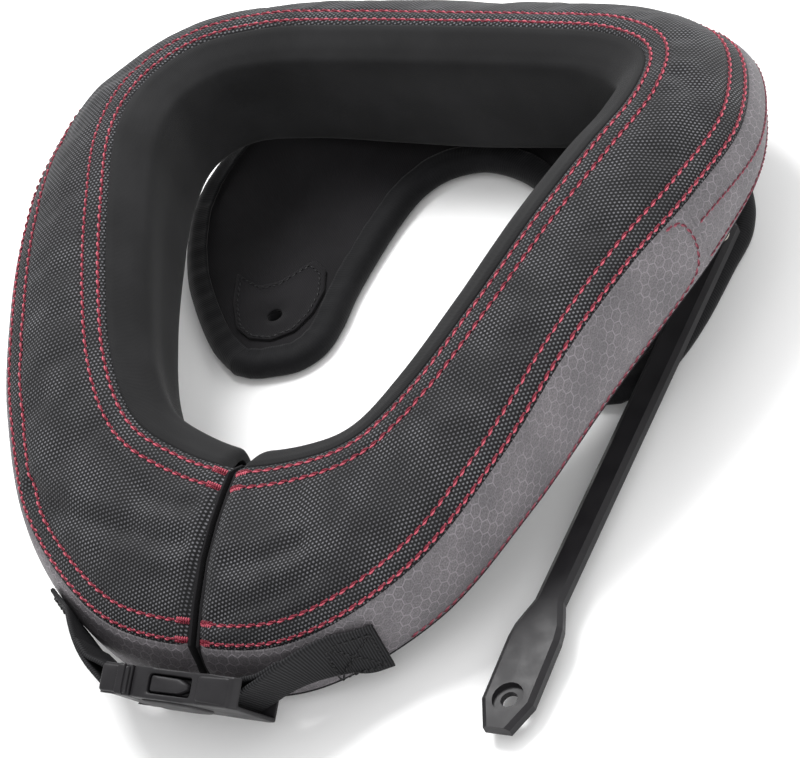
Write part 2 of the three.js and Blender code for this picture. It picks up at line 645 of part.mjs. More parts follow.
// The male piece: a frame round its bar, a middle tongue and two sprung side prongs
function buckleMale() {
  const neck = HALF_W - 0.6
  const end = MOUTH_X - SEAM_GAP
  const depth = HALF_T - PLASTIC_WALL - SEAM_GAP
  const outline = [
    [BUCKLE_X0, neck - 1], [BUCKLE_X0 + 1.5, neck], [end, neck],
    [end, -neck], [BUCKLE_X0 + 1.5, -neck], [BUCKLE_X0, -neck + 1],
  ]
  const slot = BAR_MALE_X + LOOP_RADIUS + SEAM_GAP
  const strapMouth = buckleBox(BUCKLE_X0 - 1, slot, HALF_T + 1, -STRAP_SLOT, STRAP_SLOT)
  const frame = cut(plate(outline, HALF_T), strapMouth)
  const tip = WINDOW_X1 - 1
  const root = end - 1
  const prong = (side) => plate([
    [root, side * (PRONG_OUTER - PRONG_HEIGHT)], [tip, side * (PRONG_OUTER - PRONG_HEIGHT)],
    [tip, side * (PRONG_OUTER - 1)], [tip - 4, side * PRONG_OUTER],
    [root, side * PRONG_OUTER],
  ], depth)
  const tongue = plate([[root, -1.6], [tip - 3, -1.6], [tip - 3, 1.6], [root, 1.6]], depth)
  return lean(join(frame, bar(BAR_MALE_X), prong(1), prong(-1), tongue))
}

// A strap from its sewn end on the side wall to a loop round its buckle bar. It falls towards its
// sewn end, and the buckle's tilt fades out along its free span as a twist.
const SEWN_FROM = 1.3
const SEWN_TO = 1.58
function strap(side) {
  const barX = side > 0 ? BAR_FEMALE_X : BAR_MALE_X
  const centre = v2(barX, BUCKLE_Y)
  const offset = WALL_BULGE + SEAM_GAP + STRAP_THICKNESS / 2
  const path = []
  for (let i = 0; i <= 4; i++) {
    const s = station(SEWN_TO + (SEWN_FROM - SEWN_TO) * i / 4)
    const d = s.outer.clone().sub(s.inner).normalize()
    const p = s.outer.clone().addScaledVector(d, offset)
    path.push(v2(side * p.x, p.y))
  }
  const sewnEnd = path[path.length - 1]
  const eyeEnd = centre.clone().add(v2(side * (LOOP_RADIUS - STRAP_THICKNESS / 2), 0))
  for (let i = 1; i <= STRAP_TWIST_STEPS; i++) {
    const share = i / STRAP_TWIST_STEPS
    const bow = v2(0, -STRAP_BOW * Math.sin(Math.PI * share))
    path.push(sewnEnd.clone().lerp(eyeEnd, share).add(bow))
  }
  const half = STRAP_THICKNESS / 2
  const low = BUCKLE_HEIGHT - STRAP_WIDTH / 2
  const sections = path.map((p, i) => {
    const before = path[Math.max(i - 1, 0)]
    const d = path[Math.min(i + 1, path.length - 1)].clone().sub(before).normalize()
    const z = low - STRAP_DROP * Math.max(0, side * (p.x - eyeEnd.x) - STRAP_STRAIGHT)
    const corner = (across, height) => v3(p.x - d.y * across, p.y + d.x * across, height)
    return [corner(half, z), corner(-half, z),
      corner(-half, z + STRAP_WIDTH), corner(half, z + STRAP_WIDTH)]
  })
  const band = loft(sections, [v2(1, 0), v2(-1, 0), v2(-1, 1), v2(1, 1)])
  const span = Math.abs(sewnEnd.x - eyeEnd.x)
  const twist = (x) => (
    1 - THREE.MathUtils.smoothstep(side * (x - eyeEnd.x), STRAP_STRAIGHT, span)
  )
  const eye = new THREE.Shape().absarc(centre.x, centre.y, LOOP_RADIUS, 0, 2 * Math.PI)
  const depth = { depth: STRAP_WIDTH, bevelEnabled: false, curveSegments: 10 }
  const loop = new THREE.ExtrudeGeometry(eye, depth).translate(0, 0, low)
  const core = upright(BAR_RADIUS + SEAM_GAP, centre.x, centre.y, low - 1, low + STRAP_WIDTH + 1)
  return cut(join(lean(band, twist), lean(loop)), lean(core))
}

// Materials
const meshCloth = { color: 0x1c1c1f, roughness: 0.85 }
const greyRipstop = { color: 0x6b676c, roughness: 0.8 }
const neoprene = { color: 0x121214, roughness: 0.92 }
const foam = { color: 0x2c2c2e, roughness: 0.95 }
const webbing = { color: 0x202022, roughness: 0.9 }
const nylon = { color: 0x2a2a2d, roughness: 0.45 }
const nickel = { color: 0xb9b4ac, roughness: 0.3, metalness: 1 }

const model = new THREE.Group()
function add(name, geometry, finish) {
  const mesh = new THREE.Mesh(geometry, new THREE.MeshStandardMaterial(finish))
  mesh.name = name
  model.add(mesh)
}

add('collar_foam', sweep(foamOutline, 0, 2 * LAST), foam)
add('top_cover', layer(CORNER.innerTop, CORNER.outerTop, 0, 2 * LAST), meshCloth)
add('side_wall_left', layer(CORNER.outerTop, CORNER.base, 0, WALL_SEAM), greyRipstop)
add('side_wall_right', layer(CORNER.outerTop, CORNER.base, 2 * LAST - WALL_SEAM, 2 * LAST), greyRipstop)
add('rear_wall', layer(
  CORNER.outerTop, CORNER.base, WALL_SEAM + WALL_SEAM_GAP, 2 * LAST - WALL_SEAM - WALL_SEAM_GAP,
), greyRipstop)
add('base_panel', layer(CORNER.base, CORNER.foot, 0, 2 * LAST), neoprene)
add('neck_lining', layer(CORNER.foot, CORNER.end, 0, 2 * LAST), neoprene)
add('end_panel_left', endPanel(1), neoprene)
add('end_panel_right', endPanel(-1), neoprene)

add('rear_flap', cut(
  flapPanel(), laceHole(1, LACE_HOLE_RADIUS), laceHole(-1, LACE_HOLE_RADIUS), postTool(),
), neoprene)
add('flap_binding', cut(flapBinding(), postTool(), headTool()), neoprene)
add('lobe_patch_left', lobePatch(1), neoprene)
add('lobe_patch_right', lobePatch(-1), neoprene)

add('strut', strut(), nylon)
add('strut_post', strutPost(), nickel)

add('strap_left', strap(1), webbing)
add('strap_right', strap(-1), webbing)
add('buckle_female', buckleFemale(), nylon)
add('buckle_male', buckleMale(), nylon)

// Centre the part on its footprint and set it down on the ground
model.updateMatrixWorld(true)
const bounds = new THREE.Box3().setFromObject(model, true)
const middle = bounds.getCenter(v3())
model.position.set(-middle.x, -middle.y, -bounds.min.z)

export default model
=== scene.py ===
# %% [markdown]
# A motocross neck brace in Blender. The object is a padded collar, split at the throat and closed
# by a side-release buckle, with a two-lobed neoprene flap under the nape and a stiff strut on it.
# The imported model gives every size, place and gap. This lesson dresses it: sewn panels worked out
# as surfaces with numpy, threads as real geometry, and finishes that follow the cloth.

# %% Load the frame
import math

import bmesh
import bpy
import numpy as np
from mathutils import Matrix, Vector


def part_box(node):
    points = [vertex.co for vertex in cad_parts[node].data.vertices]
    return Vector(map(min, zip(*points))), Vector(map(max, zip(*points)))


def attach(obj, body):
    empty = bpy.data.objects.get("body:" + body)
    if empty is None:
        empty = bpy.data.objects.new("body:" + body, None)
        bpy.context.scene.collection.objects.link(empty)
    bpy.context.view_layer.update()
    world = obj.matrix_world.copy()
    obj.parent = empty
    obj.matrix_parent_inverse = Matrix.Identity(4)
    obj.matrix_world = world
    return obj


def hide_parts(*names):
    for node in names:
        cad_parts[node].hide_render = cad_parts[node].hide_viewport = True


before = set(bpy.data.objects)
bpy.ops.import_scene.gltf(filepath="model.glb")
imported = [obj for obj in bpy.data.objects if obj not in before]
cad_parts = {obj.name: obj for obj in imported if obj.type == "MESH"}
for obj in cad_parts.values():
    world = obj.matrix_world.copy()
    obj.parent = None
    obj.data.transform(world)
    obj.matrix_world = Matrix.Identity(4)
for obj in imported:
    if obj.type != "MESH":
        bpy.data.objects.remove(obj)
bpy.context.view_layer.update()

# %% [markdown]
# The collar is a ring of cross-sections that change from the split to the nape. Each row below is
# one section, with lengths as shares of the collar's named sizes in millimetres, so that the
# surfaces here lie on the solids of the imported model. A smooth curve runs through each column.

# %% Sizes of the collar in millimetres
MM = 0.001
COLLAR_HALF_WIDTH, COLLAR_LENGTH, COLLAR_HEIGHT = 129, 280, 79.5
NECK_HALF_WIDTH, NECK_LENGTH, BAND_AT_SPLIT = 95, 186.6, 55.4
TOP_CROWN, WALL_BULGE, BASE_BULGE = 11, 2, 1.5
RIDGE_REACH, RIDGE_DROP, FOOT_REACH, FOOT_ROUND, END_ROUND = 12.3, 9.5, 11.5, 5, 7
FIRST_X, FIRST_PLACE = 1.4, 0.04
COLUMNS = ("inner_across", "inner_along", "inner_up", "outer_across", "outer_along", "outer_up",
           "base", "foot", "crown")
SECTIONS = np.array([
    (0, 0, 0.615, 0, 0, 0.3, 0, 0.15, 0.5),
    (0.253, 0.024, 0.631, 0.295, 0.018, 0.331, 0.035, 0.163, 0.5),
    (0.453, 0.068, 0.683, 0.574, 0.108, 0.467, 0.152, 0.226, 0.42),
    (0.611, 0.167, 0.769, 0.744, 0.237, 0.636, 0.298, 0.314, 0.36),
    (0.747, 0.315, 0.868, 0.841, 0.36, 0.769, 0.391, 0.377, 0.34),
    (0.863, 0.473, 0.957, 0.922, 0.477, 0.823, 0.445, 0.415, 0.36),
    (0.963, 0.623, 1, 0.988, 0.595, 0.801, 0.474, 0.421, 0.42),
    (1, 0.769, 0.955, 1, 0.729, 0.733, 0.481, 0.403, 0.55),
    (0.921, 0.9, 0.875, 0.853, 0.874, 0.62, 0.43, 0.32, 0.66),
    (0.695, 0.969, 0.824, 0.597, 0.951, 0.51, 0.32, 0.225, 0.76),
    (0.358, 0.994, 0.79, 0.31, 0.987, 0.4, 0.2, 0.16, 0.83),
    (0, 1, 0.779, 0, 1, 0.36, 0.15, 0.134, 0.86),
])
LAST = len(SECTIONS) - 1
FRONT, BACK = -COLLAR_LENGTH / 2, COLLAR_LENGTH / 2
SHIFT_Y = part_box("rear_wall")[1].y / MM - BACK - WALL_BULGE
print("the collar's own frame lies", round(SHIFT_Y, 2), "mm along Y")

# %% [markdown]
# A few small tools do most of the work: unit vectors, distance along a line, values read off at
# given distances, and a smooth curve through rows of numbers.

# %% Smooth curves through a table
def unit(vectors):
    """Each vector divided by its length."""
    return vectors / np.maximum(np.linalg.norm(vectors, axis=-1, keepdims=True), 1e-9)


def arc(points, axis):
    """Distance along a grid's lines from their first point: the running sum of its steps."""
    step = np.linalg.norm(np.diff(points, axis=axis), axis=-1)
    zero = np.zeros_like(np.take(step, [0], axis))
    return np.concatenate([zero, np.cumsum(step, axis)], axis)


def read_off(values, reach, at):
    """Columns of values known at distances reach, read off linearly at other distances."""
    return np.stack([np.interp(at, reach, column) for column in values.T], -1)


def walk(values, reach, wanted):
    """Values of a grid's lines (n, m, k) at wanted distances (n, w) along each line."""
    i = np.clip((reach[:, None, :] <= wanted[:, :, None]).sum(2) - 1, 0, values.shape[1] - 2)
    row = np.arange(len(values))[:, None]
    f = (wanted - reach[row, i]) / np.maximum(reach[row, i + 1] - reach[row, i], 1e-9)
    return values[row, i] * (1 - f[..., None]) + values[row, i + 1] * f[..., None]


def even(points, count):
    """Count points at even steps along each polyline of points (n, m, k)."""
    reach = arc(points, 1)
    return walk(points, reach, np.linspace(0, 1, count) * reach[:, -1:])


def smooth(values, t, before=None, after=None):
    """Catmull-Rom curve at t through rows of numbers, with one row added at each end.

    A cubic from b to c whose slopes there are half the steps from a to c and from b to d.
    """
    before = 2 * values[0] - values[1] if before is None else before
    after = 2 * values[-1] - values[-2] if after is None else after
    rows = np.concatenate([[before], values, [after]])
    k = np.clip(np.floor(t).astype(int), 0, len(values) - 2)
    f = (t - k).reshape(-1, *[1] * (values.ndim - 1))
    a, b, c, d = rows[k], rows[k + 1], rows[k + 2], rows[k + 3]
    return b + 0.5 * f * (c - a + f * (2 * a - 5 * b + 4 * c - d + f * (3 * (b - c) + d - a)))


def station(t):
    """Seams, heights and the outward direction of the collar at places t, 0 split to LAST nape."""
    mirror = np.where([name.endswith("across") for name in COLUMNS], -1, 1)
    rows = smooth(SECTIONS, t, SECTIONS[1] * mirror, SECTIONS[-2] * mirror)
    s = dict(zip(COLUMNS, rows.T))
    s["inner"] = np.stack([s["inner_across"] * NECK_HALF_WIDTH,
                           FRONT + BAND_AT_SPLIT + s["inner_along"] * NECK_LENGTH], 1)
    s["outer"] = np.stack([s["outer_across"] * COLLAR_HALF_WIDTH,
                           FRONT + s["outer_along"] * COLLAR_LENGTH], 1)
    across = s["outer"] - s["inner"]
    s["width"] = np.linalg.norm(across, axis=1)
    s["out"] = unit(across)
    for name in ("inner_up", "outer_up", "base", "foot"):
        s[name] = s[name] * COLLAR_HEIGHT
    s["crown"] = s["crown"] * TOP_CROWN
    return s


# %% [markdown]
# Each outline runs from the neck seam over the crown, down the wall, under the base and up the
# lining. Near the split the lining is tucked back on a quarter circle.

# %% The outline of a cross-section
INNER_TOP, OUTER_TOP, BASE_SEAM, FOOT_SEAM, ROUND_AGAIN = 0, 5, 7, 10, 17
SIDE_LENGTH = 360


def skin(t):
    """Corner points of the section at each t, as (distance outwards, height) from its seam."""
    s = station(t)
    w, inner, outer, base, foot = (s[k] for k in ("width", "inner_up", "outer_up", "base", "foot"))
    from_split = np.where(t < 1, np.clip(s["inner"][:, 0], FIRST_X, END_ROUND), END_ROUND)
    tuck = END_ROUND - np.sqrt(END_ROUND ** 2 - (END_ROUND - from_split) ** 2)
    ridge = inner - RIDGE_DROP
    foot_x = tuck + FOOT_ROUND - FOOT_REACH

    def top(share, crown):
        """Over the top, at shares of the width and of the crown's height."""
        return share * w, inner + (outer - inner) * share + s["crown"] * crown

    def under(share, bulge):
        """Under the base, at shares of the way inwards and of the bulge."""
        return w + (foot_x - w) * share, base + (foot - base) * share - BASE_BULGE * bulge

    def face(reach, height):
        """On the lining, tucked back near the split in proportion to its reach."""
        return -reach + tuck * min(1, reach / RIDGE_REACH), height

    corners = [
        top(0, 0), top(0.14, 0.42), top(0.34, 0.84), top(0.56, 1), top(0.8, 0.62), top(1, 0),
        (w + WALL_BULGE, (outer + base) / 2),
        (w, base), under(0.33, 0.85), under(0.67, 0.85), (foot_x, foot),
        face(FOOT_REACH - 1, foot + FOOT_ROUND * 0.4), face(FOOT_REACH, foot + FOOT_ROUND * 1.4),
        face(FOOT_REACH - 0.4, (foot + ridge) / 2 + FOOT_ROUND / 2), face(RIDGE_REACH, ridge),
        face(RIDGE_REACH * 0.74, inner - RIDGE_DROP * 0.5),
        face(RIDGE_REACH * 0.26, inner - RIDGE_DROP * 0.16), top(0, 0),
    ]
    return np.stack([np.stack(np.broadcast_arrays(*corner), 1) for corner in corners], 1)


def panel(first, last, start, end, along=0.9, across=30):
    """Grid (places, across, 3) of the collar's skin between two corners and two places.

    A point is the inner seam plus a distance times the outward direction, mirrored past the nape.
    """
    rough = np.linspace(start, end, int(abs(end - start) / LAST * SIDE_LENGTH / along) + 1)
    t = np.where(rough <= LAST, rough, 2 * LAST - rough)
    side = np.where(rough <= LAST, 1, -1)
    s = station(t)
    corners = skin(t)[:, first:last + 1].swapaxes(0, 1)
    w = np.linspace(0, last - first, 8 * (last - first) + 1)
    outline = even(smooth(corners, w).swapaxes(0, 1), across)
    flat = s["inner"][:, None] + s["out"][:, None] * outline[..., :1]
    near_split = (t < 1)[:, None]
    x = side[:, None] * np.where(near_split, np.maximum(flat[..., 0], FIRST_X), flat[..., 0])
    return np.stack([x, flat[..., 1] + SHIFT_Y, outline[..., 1]], -1)


# %% [markdown]
# A sewn panel is a grid of points. Its normals come from the grid itself, so dents along the
# stitches and the fullness of the padding can be pushed in or out of it as whole arrays.

# %% Grids to meshes
def normals(grid):
    """Unit normals of a grid (n, m, 3): the cross product of its steps across and along."""
    return unit(np.cross(np.gradient(grid, axis=1), np.gradient(grid, axis=0)))


def placed(name, data):
    """A new object in the scene."""
    made = bpy.data.objects.new(name, data)
    bpy.context.scene.collection.objects.link(made)
    return made


def mesh_of(name, points, faces, material, uv=None, ends=()):
    """A mesh piece from points in millimetres, quads and end faces, and a UV in millimetres."""
    mesh = bpy.data.meshes.new(name)
    ends = [list(end) for end in ends]
    mesh.from_pydata(points.reshape(-1, 3) * MM, [], faces.tolist() + ends)
    if uv is not None:
        corners = np.concatenate([faces.ravel(), *ends]).astype(int)
        layer = mesh.uv_layers.new(name="cloth")
        layer.data.foreach_set("uv", uv.reshape(-1, 2)[corners].ravel())
    mesh.polygons.foreach_set("use_smooth", np.ones(len(mesh.polygons), bool))
    mesh.materials.append(material)
    return placed(name, mesh)


def quads(n, m, close_n=False, close_m=False):
    """Corner numbers of the faces of an n by m grid, closed round either way where asked."""
    i, j = np.meshgrid(np.arange(n - (not close_n)), np.arange(m - (not close_m)), indexing="ij")
    a, b, i2, j2 = i, j, (i + 1) % n, (j + 1) % m
    return np.stack([a * m + b, i2 * m + b, i2 * m + j2, a * m + j2], -1).reshape(-1, 4)


def finish_piece(piece, slot, *nodes):
    """Rides on the one body and hides the CAD nodes that it stands for; the slot is not used."""
    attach(piece, "root")
    if nodes:
        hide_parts(*nodes)
    print(piece.name, len(piece.data.polygons), "faces")
    return piece


# %% [markdown]
# Every finish is named for the real one. Colours are sRGB hex values, and one small function adds
# a node with its settings and links.

# %% Material helpers
def linear(colour):
    """sRGB hex to linear RGBA."""
    c = np.array([int(colour[i:i + 2], 16) for i in (1, 3, 5)]) / 255
    c = np.where(c <= 0.04045, c / 12.92, ((c + 0.055) / 1.055) ** 2.4)
    return (*c.tolist(), 1.0)


def put(tree, kind, inputs=None, **settings):
    """Adds a node, sets its properties, and links or sets its inputs by name or number."""
    node = tree.nodes.new(kind)
    for name, value in settings.items():
        setattr(node, name, value)
    for key, value in (inputs or {}).items():
        if isinstance(value, bpy.types.NodeSocket):
            tree.links.new(value, node.inputs[key])
        else:
            node.inputs[key].default_value = value
    return node


def material(name, **surface):
    """A Principled material with plain values set on the shader's own sockets."""
    made = bpy.data.materials.new(name)
    made.use_nodes = True
    shader = made.node_tree.nodes["Principled BSDF"]
    for key, value in surface.items():
        shader.inputs[key.replace("_", " ")].default_value = value
    return made, made.node_tree, shader


def maths(tree, operation, a, b=0.0, c=0.0):
    """The result of one scalar operation."""
    return put(tree, "ShaderNodeMath", {0: a, 1: b, 2: c}, operation=operation).outputs[0]


def vectors(tree, operation, a, b=(0, 0, 0)):
    """The vector and the number that one vector operation gives."""
    return put(tree, "ShaderNodeVectorMath", {0: a, 1: b}, operation=operation).outputs


def lattices(tree, uv, across, down):
    """Vectors from the nearest points of two lattices half a cell apart: the fraction of uv over
    the pitch, less a half, times the pitch."""
    found = []
    for moved in (uv, vectors(tree, "ADD", uv, (across / 2, down / 2, 0))[0]):
        cell = vectors(tree, "DIVIDE", moved, (across, down, 1))[0]
        centred = vectors(tree, "SUBTRACT", vectors(tree, "FRACTION", cell)[0], (0.5, 0.5, 0))[0]
        found.append(vectors(tree, "MULTIPLY", centred, (across, down, 0))[0])
    return found


def ramp(tree, value, low, high, start=0.0, end=1.0):
    """A smooth step from start to end while the value goes from low to high."""
    return put(tree, "ShaderNodeMapRange", {0: value, 1: low, 2: high, 3: start, 4: end},
               interpolation_type="SMOOTHSTEP").outputs[0]


def mix(tree, share, a, b):
    """Colour a times one minus the share, plus colour b times the share; hex or a socket."""
    a, b = (linear(colour) if isinstance(colour, str) else colour for colour in (a, b))
    return put(tree, "ShaderNodeMix", {0: share, 6: a, 7: b}, data_type="RGBA").outputs[2]


def ribs(tree, uv, pitch, **settings):
    """Parallel ribs at a pitch in millimetres: a wave's scale is 2 pi over 20 times its pitch."""
    return put(tree, "ShaderNodeTexWave", {"Vector": uv, "Scale": 2 * math.pi / pitch / 20,
                                           **settings}).outputs[1]


def paint(tree, shader, share, a, b):
    """Mixes two colours into the shader's base colour."""
    tree.links.new(mix(tree, share, a, b), shader.inputs["Base Color"])


def bump(tree, shader, height, distance, strength=1.0):
    """Lets a height of one unit stand up by a distance in millimetres, in the shading."""
    made = put(tree, "ShaderNodeBump", {"Height": height, "Distance": distance * MM,
                                        "Strength": strength})
    tree.links.new(made.outputs[0], shader.inputs["Normal"])


def noise(tree, coords, size, detail):
    """Noise of about size millimetres, on cloth coordinates or else on the object's own."""
    if coords is None:
        coords, size = put(tree, "ShaderNodeTexCoord").outputs["Object"], size * MM
    return put(tree, "ShaderNodeTexNoise", {"Vector": coords, "Scale": 1 / size,
                                            "Detail": detail, "Roughness": 0.5}).outputs[0]


def cloth_uv(tree):
    """Cloth coordinates in millimetres, from the piece's own UV map."""
    return put(tree, "ShaderNodeUVMap", uv_map="cloth").outputs[0]


# %% [markdown]
# The top's mesh is a staggered lattice of light yarn nubs on dark cloth, 1.4 by 2.4 mm.

# %% Woven spacer mesh of the top
def spacer_mesh():
    """Polyester spacer mesh: grey yarns round staggered holes, dark where the holes show foam."""
    made, tree, shader = material("polyester_spacer_mesh", Roughness=0.75, Sheen_Weight=0.06,
                                  Sheen_Roughness=0.5, Specular_IOR_Level=0.2)
    across, down = 1.4, 2.4
    uv = put(tree, "ShaderNodeMapping", {"Vector": cloth_uv(tree),
                                         "Rotation": (0, 0, math.radians(-25))}).outputs[0]
    nubs = []
    for near in lattices(tree, uv, across, down):
        shape = vectors(tree, "MULTIPLY", near, (1 / 0.52, 1 / 0.44, 0))[0]
        nubs.append(vectors(tree, "LENGTH", shape)[1])
    yarn = ramp(tree, maths(tree, "MINIMUM", *nubs), 1.05, 0.45)
    worn = ramp(tree, noise(tree, uv, 16, 3), 0.35, 0.7)
    paint(tree, shader, yarn, "#0e0e10", mix(tree, worn, "#4c4c4f", "#6a6a6e"))
    bump(tree, shader, yarn, 0.5, 0.8)
    return made


# %% [markdown]
# A hexagon grid is two rectangular lattices, one half a cell along; the nearer point wins. Its
# hexagons are 3.9 mm across, drawn a little coarser than the real 3.3 mm so that they show.

# %% Grey ripstop of the walls
def ripstop():
    """Coated polyester ripstop with a raised line round every hexagon."""
    made, tree, shader = material("coated_hexagon_ripstop", Roughness=0.6, Specular_IOR_Level=0.3)
    across = 3.9
    tall = across * math.sqrt(3)
    uv = cloth_uv(tree)
    a, b = lattices(tree, uv, across, tall)
    pick = maths(tree, "LESS_THAN", vectors(tree, "LENGTH", a)[1], vectors(tree, "LENGTH", b)[1])
    cell = put(tree, "ShaderNodeMix", {0: pick, 4: b, 5: a}, data_type="VECTOR").outputs[1]
    folded = vectors(tree, "ABSOLUTE", cell)[0]
    flat = vectors(tree, "DOT_PRODUCT", folded, (0.5, math.sqrt(0.75), 0))[1]
    side = put(tree, "ShaderNodeSeparateXYZ", {0: folded}).outputs[0]
    edge = maths(tree, "SUBTRACT", across / 2, maths(tree, "MAXIMUM", side, flat))
    line = ramp(tree, edge, 0.24, 0.08)
    thread = put(tree, "ShaderNodeTexChecker", {"Vector": uv, "Scale": 2.2}).outputs[1]
    grain = noise(tree, uv, 0.55, 3)
    worn = ramp(tree, noise(tree, uv, 18, 3), 0.3, 0.7)
    dull = maths(tree, "MULTIPLY", ramp(tree, grain, 0.35, 0.65), 0.6)
    body = mix(tree, dull, mix(tree, worn, "#625f62", "#716d70"), "#403e41")
    shown = maths(tree, "MULTIPLY", line, ramp(tree, noise(tree, uv, 9, 2), 0.35, 0.6, 0.2, 0.6))
    paint(tree, shader, shown, body, "#908a90")
    weave = maths(tree, "MULTIPLY", maths(tree, "ADD", thread, grain), 0.18)
    bump(tree, shader, maths(tree, "ADD", line, weave), 0.25, 0.6)
    return made


# %% [markdown]
# The black cloths are fine knits, so their ribs stay faint. The other finishes are thread, moulded
# nylon, nickel plating and webbing.

# %% Black cloths and threads
def knit(name, colour, pitch, sheen, roughness=0.85):
    """A fine black knit or woven tape with a soft sheen at grazing angles."""
    made, tree, shader = material(name, Roughness=roughness, Sheen_Weight=sheen,
                                  Sheen_Roughness=0.45, Specular_IOR_Level=0.12)
    uv = cloth_uv(tree)
    weave = maths(tree, "ADD", ribs(tree, uv, pitch, Distortion=0.6, Detail=1.0),
                  noise(tree, uv, pitch, 2))
    patch = ramp(tree, noise(tree, uv, 22, 3), 0.3, 0.75)
    dark = tuple(0.7 * c for c in linear(colour)[:3]) + (1.0,)
    paint(tree, shader, patch, dark, colour)
    bump(tree, shader, weave, 0.12, 0.5)
    return made


def thread(name, colour, shade):
    """Bonded polyester thread; one ply gets a painted highlight, the other painted shade, by the
    UV.
    """
    made, tree, shader = material(name, Roughness=0.5, Specular_IOR_Level=0.3)
    ply = put(tree, "ShaderNodeSeparateXYZ", {0: cloth_uv(tree)}).outputs[0]
    grain = ramp(tree, noise(tree, None, 0.6, 2), 0.35, 0.65, -0.2, 0.2)
    share = ramp(tree, maths(tree, "ADD", ply, grain), 0.1, 0.9)
    # Painted light: the colour is a painted highlight on the ply with UV 1 and painted shade on the
    # other.
    paint(tree, shader, share, shade, colour)
    return made


def plastic():
    """Satin injection-moulded nylon with a faint orange-peel from the mould."""
    made, tree, shader = material("moulded_nylon", Specular_IOR_Level=0.2)
    peel, smear = noise(tree, None, 0.9, 3), noise(tree, None, 9, 3)
    paint(tree, shader, smear, "#1b1a1c", "#272628")
    tree.links.new(ramp(tree, smear, 0.3, 0.7, 0.34, 0.48), shader.inputs["Roughness"])
    bump(tree, shader, peel, 0.05, 0.5)
    return made


def plating():
    """Bright nickel plating on a steel post."""
    made, tree, shader = material("nickel_plated_steel", Metallic=1.0, Roughness=0.22)
    haze = noise(tree, None, 1.5, 3)
    paint(tree, shader, haze, "#b3ada2", "#d0cbc2")
    return made


def webbing_cloth():
    """Black polypropylene webbing with ribs 0.9 mm apart across its width."""
    made, tree, shader = material("ribbed_webbing", Roughness=0.7, Specular_IOR_Level=0.15)
    rib = ribs(tree, cloth_uv(tree), 0.9)
    paint(tree, shader, rib, "#0d0d0e", "#2b2b2d")
    bump(tree, shader, rib, 0.3, 0.7)
    return made


MESH_CLOTH = spacer_mesh()
RIPSTOP = ripstop()
NEOPRENE = knit("jersey_faced_neoprene", "#1c1b1d", 0.7, 0.05)
LYCRA = knit("brushed_lycra", "#222223", 0.5, 0.06)
TAPE = knit("folded_binding_tape", "#151517", 1.0, 0.08, 0.75)
# Each thread's first colour is a painted highlight for one ply, and its second is painted shade for
# the other.
RED_THREAD = thread("red_bonded_thread", "#bd5666", "#6a1829")
DULL_RED_THREAD = thread("dull_red_bonded_thread", "#8f4a57", "#5e2230")
BLACK_THREAD = thread("black_bonded_thread", "#2a2a2c", "#0c0c0d")
NYLON = plastic()
NICKEL = plating()
WEBBING = webbing_cloth()

# %% [markdown]
# The top cover is stitched along both edges. Each row pulls the mesh into the foam, so the surface
# dips along the rows, turns under at the seams and stands full between them. Blender's Cloth finds
# the fullness on a coarse copy held at its edges; its push along the normals is capped and laid on
# the fine grid, and the copy is deleted. A few creases are drawn in.

# %% Top cover
COVER_ROWS_INNER = (3.0, 8.8)
COVER_ROWS_OUTER = (2.6, 8.8)
STITCH_PITCH = 3.8
SPLIT_ROLL, SPLIT_ROLL_WIDTH = 1.8, 2.4
SEAM_ROLL_WIDTH, ROW_WIDTH, PUCKER = 1.3, 1.1, 0.25
CLOTH_HELD, CLOTH_CAP, CLOTH_EASE = 9.5, 1.1, 0.006


def dip(distance, width):
    """Bell curve: e to the minus square of distance over width."""
    return np.exp(-(distance / width) ** 2)


def sewn(grid, rows_in, rows_out, edge_drop=1.4, row_drop=0.55, roll=SPLIT_ROLL):
    """Pushes a grid in along its edges and stitch rows: a depth times each one's bell curve."""
    along_it = arc(grid, 0).mean(1, keepdims=True)
    from_in = arc(grid, 1)
    from_out = from_in[:, -1:] - from_in
    push = -edge_drop * (dip(from_in, SEAM_ROLL_WIDTH) + dip(from_out, SEAM_ROLL_WIDTH))
    at_split = grid[..., 1] < 0
    push = push - roll * at_split * dip(np.abs(grid[..., 0]) - FIRST_X, SPLIT_ROLL_WIDTH)
    pucker = 1 + PUCKER * np.sin(2 * math.pi * along_it / STITCH_PITCH)
    for away, distances in ((from_in, rows_in), (from_out, rows_out)):
        for distance in distances:
            push = push - row_drop * pucker * dip(away - distance, ROW_WIDTH)
    return grid + normals(grid) * push[..., None]


def blurred(field, passes=4):
    """A grid of numbers, each averaged with its four neighbours, twice its own weight."""
    for _ in range(passes):
        padded = np.pad(field, 1, "edge")
        field = (padded[:-2, 1:-1] + padded[2:, 1:-1] + padded[1:-1, :-2] + padded[1:-1, 2:]
                 + 2 * field) / 6
    return field


